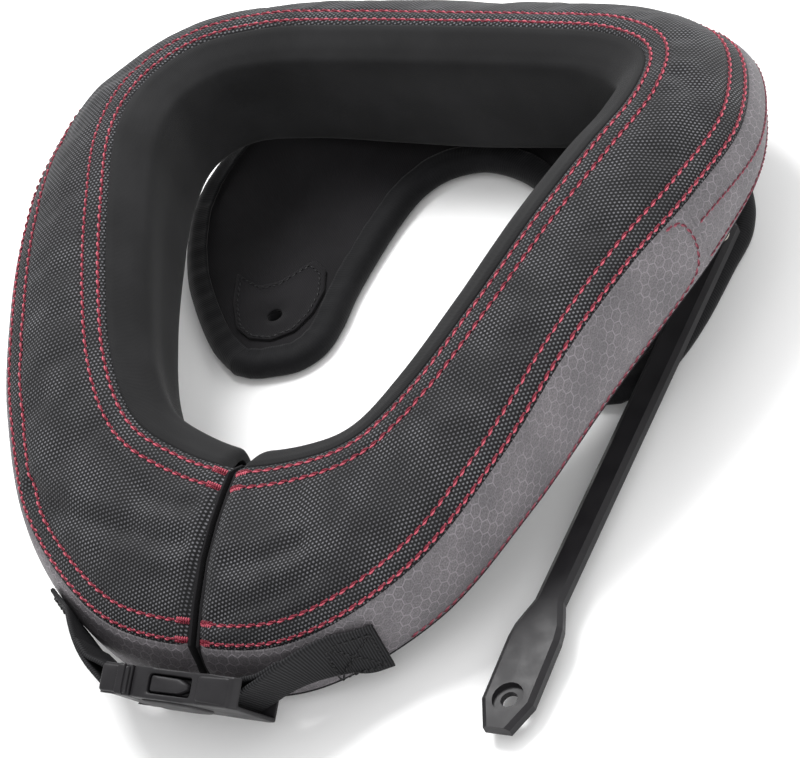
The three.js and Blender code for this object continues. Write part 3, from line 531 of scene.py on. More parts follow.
def swelling(grid, held, cap, pressure=2.5, frames=20, step=6, columns=15):
    """How far Blender's Cloth blows a panel outwards; capped as cap times tanh(push / cap)."""
    i = np.append(np.arange(0, len(grid) - step, step), len(grid) - 1)
    j = np.linspace(0, grid.shape[1] - 1, columns).astype(int)
    coarse = grid[np.ix_(i, j)]
    sheet = mesh_of("cloth_run", coarse, quads(*coarse.shape[:2])[:, ::-1], MESH_CLOTH)
    group = sheet.vertex_groups.new(name="held")
    group.add(np.flatnonzero(held[np.ix_(i, j)]).tolist(), 1.0, "REPLACE")
    cloth = sheet.modifiers.new("cloth", "CLOTH")
    settings = cloth.settings
    settings.quality, settings.vertex_group_mass = 6, "held"
    settings.shrink_min = -CLOTH_EASE
    settings.use_pressure, settings.uniform_pressure_force = True, pressure
    settings.effector_weights.gravity = 0
    cloth.point_cache.frame_end = frames
    for number in range(1, frames + 1):
        bpy.context.scene.frame_set(number)
    result = sheet.evaluated_get(bpy.context.evaluated_depsgraph_get())
    points = np.empty(3 * len(result.data.vertices))
    result.data.vertices.foreach_get("co", points)
    bpy.context.scene.frame_set(1)
    bpy.data.objects.remove(sheet)
    out = ((points.reshape(coarse.shape) / MM - coarse) * normals(coarse)).sum(-1)
    print("cloth moved by", out.min().round(2), "to", out.max().round(2), "mm before its cap")
    out = cap * np.tanh(out / cap)
    rows = read_off(out, i, np.arange(len(grid)))
    return blurred(read_off(rows.T, j, np.arange(grid.shape[1])).T)


def line_through(grid, start, end, controls):
    """Points and normals of a smooth line through (place, share across) pairs on a panel."""
    controls = np.array(controls, float)
    t = np.linspace(0, len(controls) - 1, 40 * len(controls))
    path = smooth(controls, t)
    u = np.clip((path[:, 0] - start) / (end - start), 0, 1) * (grid.shape[0] - 1.001)
    v = np.clip(path[:, 1], 0, 1) * (grid.shape[1] - 1.001)
    i, j = u.astype(int), v.astype(int)
    f, g = (u - i)[:, None], (v - j)[:, None]

    def sample(a):
        """Values between the grid's four nearest points."""
        near = a[i, j] * (1 - g) + a[i, j + 1] * g
        return near * (1 - f) + (a[i + 1, j] * (1 - g) + a[i + 1, j + 1] * g) * f
    return sample(grid), sample(normals(grid))


def crease(grid, span, controls, depth, width):
    """Push of a fold line drawn through (place, share across) pairs: a furrow and its bank."""
    line = line_through(grid, *span, controls)[0]
    near = np.full(grid.shape[:2], np.inf)
    for point in line[::4]:
        near = np.minimum(near, np.linalg.norm(grid - point, axis=-1))
    return depth * (0.45 * dip(near - 2.2 * width, width) - dip(near, width))


TOP_SPAN = (FIRST_PLACE, 2 * LAST - FIRST_PLACE)
TOP_CREASES = [
    ([(19.81, 0.83), (20.85, 0.54), (21.73, 0.47)], 1.3, 3.0),
    ([(0.3, 0.56), (0.7, 0.54), (1.06, 0.51)], 1.0, 2.8),
    ([(0.25, 0.83), (0.7, 0.76), (1.3, 0.7)], 0.7, 2.6),
    ([(20.2, 0.25), (21.0, 0.3), (21.7, 0.27)], 0.6, 2.4),
    ([(6.3, 0.75), (6.9, 0.6), (7.3, 0.35)], 0.5, 3.0),
    ([(15.8, 0.7), (15.2, 0.55), (14.8, 0.3)], 0.5, 3.0),
]
top_grid = panel(INNER_TOP, OUTER_TOP, *TOP_SPAN, across=54)
across_it = arc(top_grid, 1)
nearest_edge = np.minimum(across_it, across_it[:, -1:] - across_it)
held = nearest_edge < CLOTH_HELD
held[[0, -1]] = True
push = swelling(top_grid, held, CLOTH_CAP)
for controls, depth, width in TOP_CREASES:
    push = push + crease(top_grid, TOP_SPAN, controls, depth, width)
top_grid = top_grid + normals(top_grid) * push[..., None]
top_grid = sewn(top_grid, COVER_ROWS_INNER, COVER_ROWS_OUTER)


def unrolled(grid):
    """Cloth coordinates in millimetres: the panel seen from above, flattened across its width."""
    across = arc(grid, 1)
    half = grid.shape[1] // 2
    direction = unit(grid[:, -1, :2] - grid[:, 0, :2])
    offset = across - across[:, half:half + 1]
    return grid[:, half:half + 1, :2] + offset[..., None] * direction[:, None]


def strip_uv(grid):
    """Cloth coordinates in millimetres: along the panel's middle line, and across it."""
    along_it = arc(grid, 0)[:, grid.shape[1] // 2]
    return np.stack([np.broadcast_to(along_it[:, None], grid.shape[:2]), arc(grid, 1)], -1)


def grid_piece(name, grid, material, uv, thickness):
    """A sewn panel: a grid mesh whose faces look outwards, its cloth's thickness behind them."""
    piece = mesh_of(name, grid, quads(*grid.shape[:2])[:, ::-1], material, uv)
    cloth = piece.modifiers.new("cloth thickness", "SOLIDIFY")
    cloth.thickness, cloth.offset = thickness * MM, -1
    return piece


top_cover = grid_piece("top_cover_mesh", top_grid, MESH_CLOTH, unrolled(top_grid), 1.4)
finish_piece(top_cover, "mesh_cloth", "top_cover", "collar_foam")

# %% [markdown]
# The other panels are sewn the same way. The walls meet the rear wall near the back corners, and
# the lining rolls further in at the split than the cover, which leaves a notch at the throat.

# %% Walls, underside and lining
WALL_SEAM = 5.8
wall_panels = {
    "side_wall_left": (FIRST_PLACE, WALL_SEAM), "rear_wall": (WALL_SEAM, 2 * LAST - WALL_SEAM),
    "side_wall_right": (2 * LAST - WALL_SEAM, 2 * LAST - FIRST_PLACE),
}
wall_grids = {}
for name, (start, end) in wall_panels.items():
    grid = panel(OUTER_TOP, BASE_SEAM, start, end, across=40)
    wall_grids[name] = sewn(grid, (), (3.0,), edge_drop=1.0, row_drop=0.35)
    piece = grid_piece(name + "_ripstop", wall_grids[name], RIPSTOP, strip_uv(grid), 1.2)
    finish_piece(piece, "grey_ripstop", name)

base_grid = sewn(panel(BASE_SEAM, FOOT_SEAM, *TOP_SPAN, 1.6, 36), (), (), 0.9)
base = grid_piece("base_panel_neoprene", base_grid, NEOPRENE, strip_uv(base_grid), 1.4)
finish_piece(base, "neoprene", "base_panel")

lining_grid = sewn(panel(FOOT_SEAM, ROUND_AGAIN, *TOP_SPAN, 1.4, 64), (), (), 0.9, roll=2.6)
lining = grid_piece("neck_lining_lycra", lining_grid, LYCRA, strip_uv(lining_grid), 2.0)
finish_piece(lining, "neoprene", "neck_lining")

# %% [markdown]
# Sewing thread is geometry here, because it casts its own small shadows and catches the light
# ply by ply; its plies are also coloured with painted light, one with a painted highlight and
# one with painted shade. One stitch is worked out once, as two plies twisted about two thirds of
# a turn that dive into the cloth at both ends, and arrays set it down along every row.

# %% Rows of stitches
def line_at(grid, distance, from_outer=False):
    """Points and normals of a line that keeps a distance from one edge of a panel."""
    reach = arc(grid, 1)
    wanted = reach[:, -1:] - distance if from_outer else np.full((len(grid), 1), distance)
    return [walk(values, reach, wanted)[:, 0] for values in (grid, normals(grid))]


RINGS, SIDES = 7, 4


def stitch_form(length, ply, lift):
    """Points (2, RINGS, SIDES, 3) of one stitch as (along, across, up): two twisted plies.

    A ply turns round the stitch at 0.75 of its radius. The stitch falls with the fourth power of
    the way to its ends, and the plies thin with the sixth.
    """
    s = np.linspace(-0.5, 0.5, RINGS)
    turn = np.pi * (s * 1.3 + 0.25)
    angle = np.linspace(0, 2 * np.pi, SIDES, endpoint=False)
    plies = []
    for phase in (0.0, np.pi):
        across = ply * 0.75 * np.cos(turn + phase) + 0.5 * s
        up = ply * 0.75 * np.sin(turn + phase) + lift * (1 - 2.2 * (2 * s) ** 4)
        radius = ply * (1 - 0.5 * (2 * s) ** 6)
        plies.append(np.stack([
            np.broadcast_to((s * length)[:, None], (RINGS, SIDES)),
            across[:, None] + radius[:, None] * np.cos(angle),
            up[:, None] + radius[:, None] * np.sin(angle),
        ], -1))
    return np.stack(plies)


def stitches(name, rows, material, slot, pitch=STITCH_PITCH, length=3.75, ply=0.36, lift=0.24):
    """One joined mesh with a stitch at every pitch along each (points, normals) row."""
    form = stitch_form(length, ply, lift)
    flat = form.reshape(-1, 3)
    made = []
    for path, n in rows:
        reach = arc(path, 0)
        centres = np.arange(length / 2, reach[-1] - length / 3, pitch)
        at = centres[:, None] + flat[None, :, 0]
        side = np.cross(n, np.gradient(path, axis=0))
        place, up, across = (read_off(values, reach, at) for values in (path, n, side))
        made.append(place + unit(across) * flat[None, :, 1:2] + unit(up) * flat[None, :, 2:3])
    points = np.concatenate([m.reshape(-1, len(flat), 3) for m in made])
    ply_faces = quads(RINGS, SIDES, close_m=True)[:, ::-1]
    count, per_ply = len(points) * 2, RINGS * SIDES
    faces = (ply_faces[None] + np.arange(count)[:, None, None] * per_ply).reshape(-1, 4)
    first = np.arange(SIDES)[None] + np.arange(count)[:, None] * per_ply
    last = first[:, ::-1] + (RINGS - 1) * SIDES
    ends = np.concatenate([first, last]).tolist()
    # The UV tells the plies apart: the first gets painted shade, the second a painted highlight.
    which_ply = np.repeat([0.0, 1.0], per_ply)[None, :, None]
    ply_uv = np.broadcast_to(which_ply, (count // 2, 2 * per_ply, 2))
    piece = mesh_of(name, points, faces, material, ply_uv.copy(), ends=ends)
    return finish_piece(piece, slot)


def tack(row, span=6.0, width=2.4, step=0.75, at_end=False):
    """Short rows across the first or last few millimetres of a row, as a bar-tack is sewn."""
    path, n = (values[::-1] for values in row) if at_end else row
    reach = arc(path, 0)
    rows = []
    for s in np.arange(0.8, span, step):
        p, up, ahead = (read_off(v, reach, s + d) for v, d in ((path, 0), (n, 0), (path, 0.4)))
        across = unit(np.cross(up, ahead - p)) * width / 2
        slant = unit(ahead - p) * step
        ends = np.stack([p - across - slant / 2, p, p + across + slant / 2])
        rows.append((ends, np.broadcast_to(up, (3, 3))))
    return rows


cover_rows = [line_at(top_grid, d) for d in COVER_ROWS_INNER]
cover_rows += [line_at(top_grid, d, True) for d in COVER_ROWS_OUTER]
stitches("cover_stitching", cover_rows, RED_THREAD, "mesh_cloth")
tacks = [t for row in cover_rows for end in (False, True) for t in tack(row, at_end=end)]
stitches("split_bar_tacks", tacks, RED_THREAD, "mesh_cloth", pitch=9, length=2.4, ply=0.26)

# %% [markdown]
# The walls' rows are lines through a few (place, share across) pairs, read off the photo. The
# right wall mirrors the left one.

# %% Stitching of the walls
SIDE_ROW = [(5.5, 0.03), (5.66, 0.1), (5.71, 0.32), (5.68, 0.6), (5.6, 0.8), (5.4, 0.9),
            (5.0, 0.92), (4.0, 0.92), (3.0, 0.92), (1.7, 0.9)]
REAR_ROWS = [
    [(5.86, 0.3), (6.45, 0.37), (7.58, 0.52), (9.2, 0.55), (11, 0.55), (12.8, 0.55),
     (14.42, 0.52), (15.55, 0.37), (16.14, 0.3)],
    [(5.84, 0.86), (6.5, 0.88), (8, 0.88), (11, 0.88), (14, 0.88), (15.5, 0.88), (16.16, 0.86)],
]
wall_rows = []
for name, controls in (("side_wall_left", [SIDE_ROW]), ("rear_wall", REAR_ROWS),
                       ("side_wall_right", [[(2 * LAST - p, v) for p, v in SIDE_ROW]])):
    for row in controls:
        wall_rows.append(line_through(wall_grids[name], *wall_panels[name], row))
stitches("wall_stitching", wall_rows, DULL_RED_THREAD, "grey_ripstop", 3.2, 3.0, 0.28, 0.15)

# %% [markdown]
# The flap is one sheet of neoprene with two lobes. Its edges are the same smooth lines as in the
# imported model: one round the arch, one down the outside of each lobe. The sheet is lofted between
# them, and a folded tape is carried along them.

# %% Edges of the flap
FLAP_HALF_WIDTH, FLAP_LENGTH, LOBE_SPREAD = 111, 128, 34
FLAP_THICKNESS, BINDING_WIDTH, BINDING_WALL, BINDING_PLAY, SEAM_GAP = 4, 8, 1, 0.6, 0.3
BINDING_HEIGHT = FLAP_THICKNESS + 2 * (BINDING_WALL + BINDING_PLAY)
ROOT_DROP = FLAP_THICKNESS + BINDING_WALL + BINDING_PLAY + SEAM_GAP + BASE_BULGE / 2
ROOT_SECTIONS = np.array([11, 10.1, 9.2, 8.5])
INNER_EDGE = np.array([
    (0, 0.775, 0.5, 0), (0.11, 0.75, 0.42, 0.09), (0.18, 0.69, 0.25, 0.24),
    (0.216, 0.588, 0.1, 0.38), (0.234, 0.447, 0, 0.5), (0.239, 0.306, 0, 0.6),
    (0.23, 0.196, 0, 0.68), (0.243, 0.102, 0, 0.79), (0.306, 0.035, 0, 0.88),
    (0.405, 0.004, 0, 0.94), (0.468, -0.004, 0, 0.99),
])
OUTER_EDGE = np.array([
    (0.945, 0.74, 0.3, 0), (0.995, 0.61, 0, 0.03), (0.95, 0.463, 0, 0.16),
    (0.865, 0.314, 0, 0.41), (0.757, 0.188, 0, 0.69), (0.631, 0.071, 0, 0.95),
    (0.522, 0.004, 0, 1),
])


def root_points():
    """Where the flap's underside is sewn under the collar."""
    s, corners = station(ROOT_SECTIONS), skin(ROOT_SECTIONS)
    middle = (corners[:, BASE_SEAM + 1] + corners[:, BASE_SEAM + 2]) / 2
    at = s["inner"] + s["out"] * middle[:, :1]
    return np.column_stack([at, np.minimum(middle[:, 1], s["foot"]) - ROOT_DROP])


ROOTS = root_points()
FLAP_TIPS = ROOTS[0, 1] - FLAP_LENGTH
EDGE_END = len(INNER_EDGE) - 1


def edge_points(table, side, root_height):
    """Table rows as points: shares of the flap's width, length and root height, plus a spread."""
    spread = LOBE_SPREAD if side > 0 else 0
    return np.column_stack([table[:, 0] * FLAP_HALF_WIDTH + table[:, 3] * spread,
                            FLAP_TIPS + table[:, 1] * FLAP_LENGTH, table[:, 2] * root_height])


def edge_line(side, which, t, inset=0.0, lift=0.0):
    """Smooth edge of one lobe at places t, moved into the flap and up; never below ground."""
    if which == "inner":
        points = edge_points(INNER_EDGE, side, ROOTS[0, 2])
    else:
        points = np.concatenate([ROOTS, edge_points(OUTER_EDGE, side, ROOTS[-1, 2])])

    def line(at):
        """The edge's curve, mirrored to its side and kept above ground."""
        p = smooth(points, at, points[1] * (-1, 1, 1))
        return p * (side, 1, 1) * (1, 1, 0) + np.maximum(p, 0) * (0, 0, 1)
    ahead = line(np.minimum(t + 0.05, EDGE_END)) - line(np.maximum(t - 0.05, 0))
    ahead[:, 2] = 0
    ahead = unit(ahead)
    turn = (1 if which == "inner" else -1) * side
    inward = np.column_stack([-ahead[:, 1] * turn, ahead[:, 0] * turn, np.zeros(len(t))])
    return line(t) + inward * inset + (0, SHIFT_Y, lift)


# %% [markdown]
# The sheet's sections run from the inner edge to the outer one, rounded at both and a little
# uneven between them. A round hole is cut through each lobe.

# %% Neoprene sheet of the flap
def ripple(points, size, seed):
    """Soft unevenness of about one unit from three crossed waves of a size in millimetres."""
    x, y = points[..., 0] / size, points[..., 1] / size
    waves = np.sin(1.9 * x + 1.1 * y + seed) + np.sin(-1.3 * x + 2.3 * y + 2 * seed)
    return (waves + np.sin(2.7 * x - 0.7 * y + 3 * seed)) / 3


def flap_rows(side, ks):
    """Closed cross-sections of the sheet at places ks of one side: its top, then its underside."""
    low = BINDING_WALL + BINDING_PLAY
    inset = BINDING_WALL + 0.9
    a, b = (edge_line(side, which, ks, inset, low) for which in ("inner", "outer"))
    w = np.linspace(0, 1, 34)
    flat = a[:, None] * (1 - w)[None, :, None] + b[:, None] * w[None, :, None]
    flat[..., 2] = a[:, 2:3] + (b[:, 2:3] - a[:, 2:3]) * (w * w * (3 - 2 * w))[None]
    swell = 0.35 * ripple(flat, 16, 1.0) * np.sin(np.pi * w)[None] ** 0.5
    rounded = FLAP_THICKNESS * (1 - 0.35 * (dip(w, 0.04) + dip(1 - w, 0.04)))[None]
    top = flat + np.stack([0 * swell, 0 * swell, rounded + swell - 0.2], -1)
    bottom = flat[:, ::-1] + (0, 0, 0.15)
    return np.concatenate([top, bottom], 1)


def loft(name, loops, material, uv=None):
    """A closed piece from closed loops (n, m, 3), with a face over each end."""
    n, m = loops.shape[:2]
    if uv is None:
        uv = np.stack([np.broadcast_to(arc(loops, 0)[:, :1], (n, m)), arc(loops, 1)], -1)
    ends = [range(m - 1, -1, -1), range((n - 1) * m, n * m)]
    piece = mesh_of(name, loops, quads(n, m, close_m=True), material, uv, ends=ends)
    outward(piece)
    return piece


def outward(piece):
    """Turns all faces of a closed piece outwards."""
    b = bmesh.new()
    b.from_mesh(piece.data)
    bmesh.ops.recalc_face_normals(b, faces=b.faces)
    b.to_mesh(piece.data)
    b.free()


ks = np.linspace(0, EDGE_END - 0.4, 150)
loops = np.concatenate([flap_rows(1, ks[::-1]), flap_rows(-1, ks[1:])])
flap = loft("flap_neoprene", loops, NEOPRENE, loops[..., :2].copy())

HOLE_RADIUS, HOLE_ACROSS, HOLE_FROM_TIPS = 2.6, 51, 24


def hole_centre(side):
    """Where a lobe's hole is seen from above; the left lobe is spread further out."""
    return np.array([side * (HOLE_ACROSS + (LOBE_SPREAD * 0.7 if side > 0 else 0)),
                     FLAP_TIPS + HOLE_FROM_TIPS + SHIFT_Y])


def drill(piece, x, y, radius, depth=60):
    """Cuts an upright round hole through a piece, and keeps the mesh as cut."""
    bpy.ops.mesh.primitive_cylinder_add(vertices=32, radius=radius * MM, depth=depth * MM,
                                        location=(x * MM, y * MM, 0))
    tool = bpy.context.object
    hole = piece.modifiers.new("hole", "BOOLEAN")
    hole.operation, hole.object, hole.solver = "DIFFERENCE", tool, "EXACT"
    bpy.context.view_layer.objects.active = piece
    bpy.ops.object.modifier_apply(modifier="hole")
    bpy.data.objects.remove(tool)


for side in (1, -1):
    drill(flap, *hole_centre(side), HOLE_RADIUS)
finish_piece(flap, "neoprene", "rear_flap")

# %% [markdown]
# The binding is a tape folded round the flap's edge: its profile is a half turn between two flats.

# %% Folded binding and its stitching
BINDING_START = len(ROOTS) - 0.7
PER_PLACE = 16


def round_the_edge(inset, lift):
    """The flap's free edge from root to root, at a distance into it and a height."""
    def run(side, which, a, b):
        """One edge of one lobe from place a to place b."""
        return edge_line(side, which, np.linspace(a, b, int(abs(b - a) * PER_PLACE)), inset, lift)
    return np.concatenate([
        run(1, "outer", BINDING_START, EDGE_END)[:-1], run(1, "inner", EDGE_END, 0)[:-1],
        run(-1, "inner", 0, EDGE_END)[:-1], run(-1, "outer", EDGE_END, BINDING_START)])


def binding_grid():
    """The tape's outside from its upper edge round the flap's edge to its lower one."""
    h, r = BINDING_HEIGHT, BINDING_HEIGHT * 0.48
    turn = np.linspace(0, np.pi, 11)
    depth = np.concatenate([np.linspace(BINDING_WIDTH, r, 6)[:-1], r - r * np.sin(turn),
                            np.linspace(r, BINDING_WIDTH, 6)[1:]])
    lift = np.concatenate([np.full(5, h), h / 2 + h / 2 * np.cos(turn), np.full(5, 0.0)])
    grid = np.stack([round_the_edge(d, z) for d, z in zip(depth, lift)], 1)
    s = arc(grid, 0)[:, 8]
    wave = 0.12 * np.sin(2 * np.pi * s / 7.3) + 0.18 * np.sin(2 * np.pi * s / 17 + 1)
    upper = np.clip(lift / h, 0, 1)
    grid[..., 2] += (wave - 0.5)[:, None] * upper[None] * (0.4 + 0.6 * dip(depth - 6, 3))[None]
    return grid


tape_grid = binding_grid()
tape = grid_piece("flap_binding_tape", tape_grid, TAPE, strip_uv(tape_grid), 0.9)
finish_piece(tape, "binding_tape", "flap_binding")
FINE_STITCH = {"pitch": 2.6, "length": 2.3, "ply": 0.22, "lift": 0.2}


def flat_row(points):
    """A row of stitches whose plies lie on top of it: every normal is upright."""
    return points, np.broadcast_to((0.0, 0.0, 1.0), points.shape)


tape_row = flat_row(tape_grid[:, 1] + (0, 0, 0.1))
stitches("binding_stitching", [tape_row], BLACK_THREAD, "binding_tape", **FINE_STITCH)

# %% [markdown]
# Each lobe has a sewn patch with a notch, round its hole. Its rings run from the hole's rim to the
# outline, with a shallow furrow where the stitches lie.

# %% Notched patches on the lobes
PATCH_HALF_WIDTH = 25
PATCH_OUTLINE = np.array([
    (-1, 0.74), (-0.52, 0.52), (-0.22, 0.63), (0.15, 1.07), (0.42, 0.9), (0.58, 0.5),
    (0.58, 0.1), (0.45, -0.25), (0.15, -0.45), (-0.2, -0.45), (-0.5, -0.28), (-0.8, 0.2),
])
PATCH_Z = BINDING_WALL + BINDING_PLAY + FLAP_THICKNESS + 0.15


def closed_line(corners, count, passes):
    """Points at even steps round corners, each averaged (1, 2, 1) with its neighbours."""
    corners = np.concatenate([corners, corners[:1]]).astype(float)
    length = arc(corners, 0)
    line = read_off(corners, length, np.linspace(0, length[-1], count, endpoint=False))
    for _ in range(passes):
        line = (np.roll(line, 1, 0) + 2 * line + np.roll(line, -1, 0)) / 4
    return line


def patch_line(side, share, z, count=180):
    """A closed line between the hole's rim (share 0) and the patch's outline (share 1)."""
    outline = closed_line(PATCH_OUTLINE * PATCH_HALF_WIDTH * (-side, 1), count, 3)
    radius = np.linalg.norm(outline, axis=1, keepdims=True)
    rim = outline / radius * (HOLE_RADIUS + 0.2)
    line = rim + (outline - rim) * share + hole_centre(side)
    return np.column_stack([line, np.full(count, z)])


for side, name in ((1, "left"), (-1, "right")):
    profile = [(0, 0), (0, 0.7), (0.02, 1.0), (0.3, 1.05), (0.6, 1.1), (0.88, 0.85), (0.93, 1.05),
               (0.98, 0.95), (1, 0.6), (1, 0)]
    rings = np.stack([patch_line(side, share, PATCH_Z + z) for share, z in profile], 1)
    faces = quads(*rings.shape[:2], close_n=True, close_m=True)
    patch = mesh_of(f"lobe_patch_{name}_neoprene", rings, faces, NEOPRENE, rings[..., :2].copy())
    outward(patch)
    finish_piece(patch, "neoprene", f"lobe_patch_{name}")
    row = patch_line(side, 0.88, PATCH_Z + 0.85)
    row = flat_row(np.concatenate([row, row[:1]]))
    stitches(f"patch_stitching_{name}", [row], BLACK_THREAD, "neoprene", **FINE_STITCH)

# %% [markdown]
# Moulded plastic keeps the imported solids' shape. The edges of each copy are rounded as a mould
# does, by a small bevel, or on the buckle by even voxels that are smoothed, so that they catch a
# line of light. The split's two end faces draw in behind the rolled cloth.

# %% Moulded and turned pieces
def moulded(node, name, finish, slot, radius, angle=25, tuck=None, melt=0, facets=False):
    """A copy of a CAD node with rounded edges, in place of the node.

    A tuck draws in its low and high sides, in y and in z. A melt smooths even voxels so often.
    """
    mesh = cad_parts[node].data.copy()
    b = bmesh.new()
    b.from_mesh(mesh)
    bmesh.ops.remove_doubles(b, verts=b.verts, dist=0.01 * MM)
    bmesh.ops.dissolve_limit(b, angle_limit=math.radians(1.5), verts=b.verts, edges=b.edges)
    if tuck:
        points = np.array([v.co for v in b.verts])
        low, high = points.min(0), points.max(0)
        near, far = np.array(tuck).T * MM
        scale = (high - low)[1:] - near - far
        points[:, 1:] = (low[1:] + near) + (points - low)[:, 1:] / (high - low)[1:] * scale
        for vertex, point in zip(b.verts, points):
            vertex.co = point
    b.to_mesh(mesh)
    b.free()
    mesh.materials.clear()
    mesh.materials.append(finish)
    piece = placed(name, mesh)
    mesh.polygons.foreach_set("use_smooth", np.full(len(mesh.polygons), not facets))
    if melt:
        grain = piece.modifiers.new("even grain", "REMESH")
        grain.mode, grain.voxel_size, grain.use_smooth_shade = "VOXEL", radius * MM, True
        soft = piece.modifiers.new("mould radius", "SMOOTH")
        soft.factor, soft.iterations = 0.5, melt
    else:
        edge = piece.modifiers.new("mould radius", "BEVEL")
        edge.width, edge.segments, edge.limit_method = radius * MM, 3, "ANGLE"
        edge.angle_limit, edge.harden_normals = math.radians(angle), True
    return finish_piece(piece, slot, node)


PANEL_TUCK = ((1.5, 2.7), (1.0, 2.0))
moulded("strut", "strut_bar", NYLON, "nylon_plastic", 0.35, angle=7, facets=True)
moulded("strut_post", "strut_pin", NICKEL, "nickel_steel", 0.25)
moulded("buckle_female", "buckle_socket", NYLON, "nylon_plastic", 0.45, melt=8)
moulded("buckle_male", "buckle_plug", NYLON, "nylon_plastic", 0.45, melt=8)
for side in ("left", "right"):
    moulded(f"end_panel_{side}", f"split_face_{side}", NEOPRENE, "neoprene", 0.3, tuck=PANEL_TUCK)

# %% [markdown]
# A strap runs along the wall, leaves it, turns round its bar in the buckle and comes back inside.
# The buckle leans forward, so the strap twists from upright at the wall to that lean.

# %% Webbing straps
STRAP_WIDTH, STRAP_THICKNESS, STRAP_DROP, STRAP_STRAIGHT, STRAP_BOW = 20, 1.6, 0.1, 6, 1.2
STANDOFF, BUCKLE_HEIGHT, BUCKLE_TILT = 13, 19.5, math.radians(27)
BUCKLE_Y = FRONT - STANDOFF
BAR_X = {1: 23.8, -1: -20.8}
BAR_WRAP = 2.4
SEWN_FROM, SEWN_TO = 1.3, 1.58
TAIL, TAIL_GAP = 20.0, 2.2


def lean(points, share=1.0):
    """Turns points by the tilt's cosine and sine about the buckle's middle, in the model's y."""
    tilt = BUCKLE_TILT * share
    y, z = points[..., 1] - BUCKLE_Y, points[..., 2] - BUCKLE_HEIGHT
    return np.stack([points[..., 0],
                     BUCKLE_Y + y * np.cos(tilt) - z * np.sin(tilt) + SHIFT_Y,
                     BUCKLE_HEIGHT + y * np.sin(tilt) + z * np.cos(tilt)], -1)


def strap_path(side):
    """The strap's middle line seen from above: along the wall, round its bar, and back inside."""
    s = station(np.linspace(SEWN_TO, SEWN_FROM, 12))
    wall = s["outer"] + s["out"] * (WALL_BULGE + SEAM_GAP + STRAP_THICKNESS / 2)
    wall[:, 0] *= side
    bar = np.array([BAR_X[side], BUCKLE_Y])
    ahead = unit(bar - wall[-1])
    front = np.array([-ahead[1], ahead[0]]) * side
    f = np.linspace(0, 1, 16)[1:-1, None]
    free = wall[-1] * (1 - f) + (bar + BAR_WRAP * front) * f
    free += (0, -STRAP_BOW) * np.sin(np.pi * f)
    turn = np.linspace(0, np.pi, 13)[:, None]
    wrap = bar + BAR_WRAP * (front * np.cos(turn) + ahead * np.sin(turn))
    back = np.linspace(1.5, TAIL, 9)[:, None]
    closing = (2 * BAR_WRAP - TAIL_GAP) * np.clip(back / 12, 0, 1) ** 2
    bow = (0, -STRAP_BOW) * np.sin(back / 12)
    tail = wrap[-1] - ahead * back + front * closing + bow
    return even(np.concatenate([wall, free, wrap, tail])[None], 170)[0]


def strap(side, name):
    """A flat webbing tube carried along the strap's line, twisting into the buckle's tilt."""
    path = strap_path(side)
    ahead = unit(np.gradient(path, axis=0))
    out = np.column_stack([ahead[:, 1], -ahead[:, 0]]) * -side
    eye = BAR_X[side] + side * BAR_WRAP
    beyond = side * (path[:, 0] - eye)
    span = side * (path[12, 0] - eye)
    f = np.clip((beyond - STRAP_STRAIGHT) / (span - STRAP_STRAIGHT), 0, 1)
    share = 1 - f * f * (3 - 2 * f)
    height = BUCKLE_HEIGHT - STRAP_DROP * np.maximum(0, beyond - STRAP_STRAIGHT)
    half, thick = STRAP_WIDTH / 2, STRAP_THICKNESS / 2
    section = np.array([(thick * 0.55, -half), (thick, -half + 0.8),
                        *((thick, z) for z in np.linspace(-half + 2, half - 2, 9)),
                        (thick, half - 0.8), (thick * 0.55, half)])
    section = np.concatenate([section, section[::-1] * (-1, 1)])
    flat = path[:, None] + out[:, None] * section[None, :, :1]
    upright = np.concatenate([flat, (height[:, None] + section[None, :, 1])[..., None]], -1)
    uv = np.stack(np.broadcast_arrays(arc(path, 0)[:, None], section[None, :, 1]), -1)
    piece = loft(name, lean(upright, share[:, None]), WEBBING, uv)
    finish_piece(piece, "webbing", name.replace("_webbing", ""))
    face = np.concatenate([path + out * thick + (0, SHIFT_Y), height[:, None]], 1)
    return face, np.column_stack([out, np.zeros(len(out))])


def box_stitch(face, out, length=17, inset=2.5):
    """Rows of a sewn box with a cross, on a strap's outer face from its sewn end."""
    reach = arc(face, 0)
    low, high = -STRAP_WIDTH / 2 + inset, STRAP_WIDTH / 2 - inset
    a, b, c, d = (2, low), (length, low), (length, high), (2, high)
    rows = []
    for start, end in ((a, b), (b, c), (c, d), (d, a), (a, c), (d, b)):
        at, z = np.linspace(start, end, 20).T
        p = read_off(face, reach, at)
        p[:, 2] += z
        rows.append((p, read_off(out, reach, at)))
    return rows


strap_rows = []
for side, name in ((1, "strap_left_webbing"), (-1, "strap_right_webbing")):
    strap_rows += box_stitch(*strap(side, name))
stitches("strap_stitching", strap_rows, BLACK_THREAD, "webbing", 2.2, 1.9, 0.25, 0.2)

# %% [markdown]
# The buckle's low forms are pillows set on its faces: a panel in front, and on top the plug's cap
# and rib, the release arm in its window and the socket's shoulder.

# %% Raised forms of the buckle
HALF_DEPTH, HALF_SPAN = 5.0, 12.2
PILLOW = [(1, -0.4), (1, 0.3), (0.97, 0.65), (0.91, 0.86), (0.8, 0.96), (0.5, 1.0), (0.02, 1.02)]


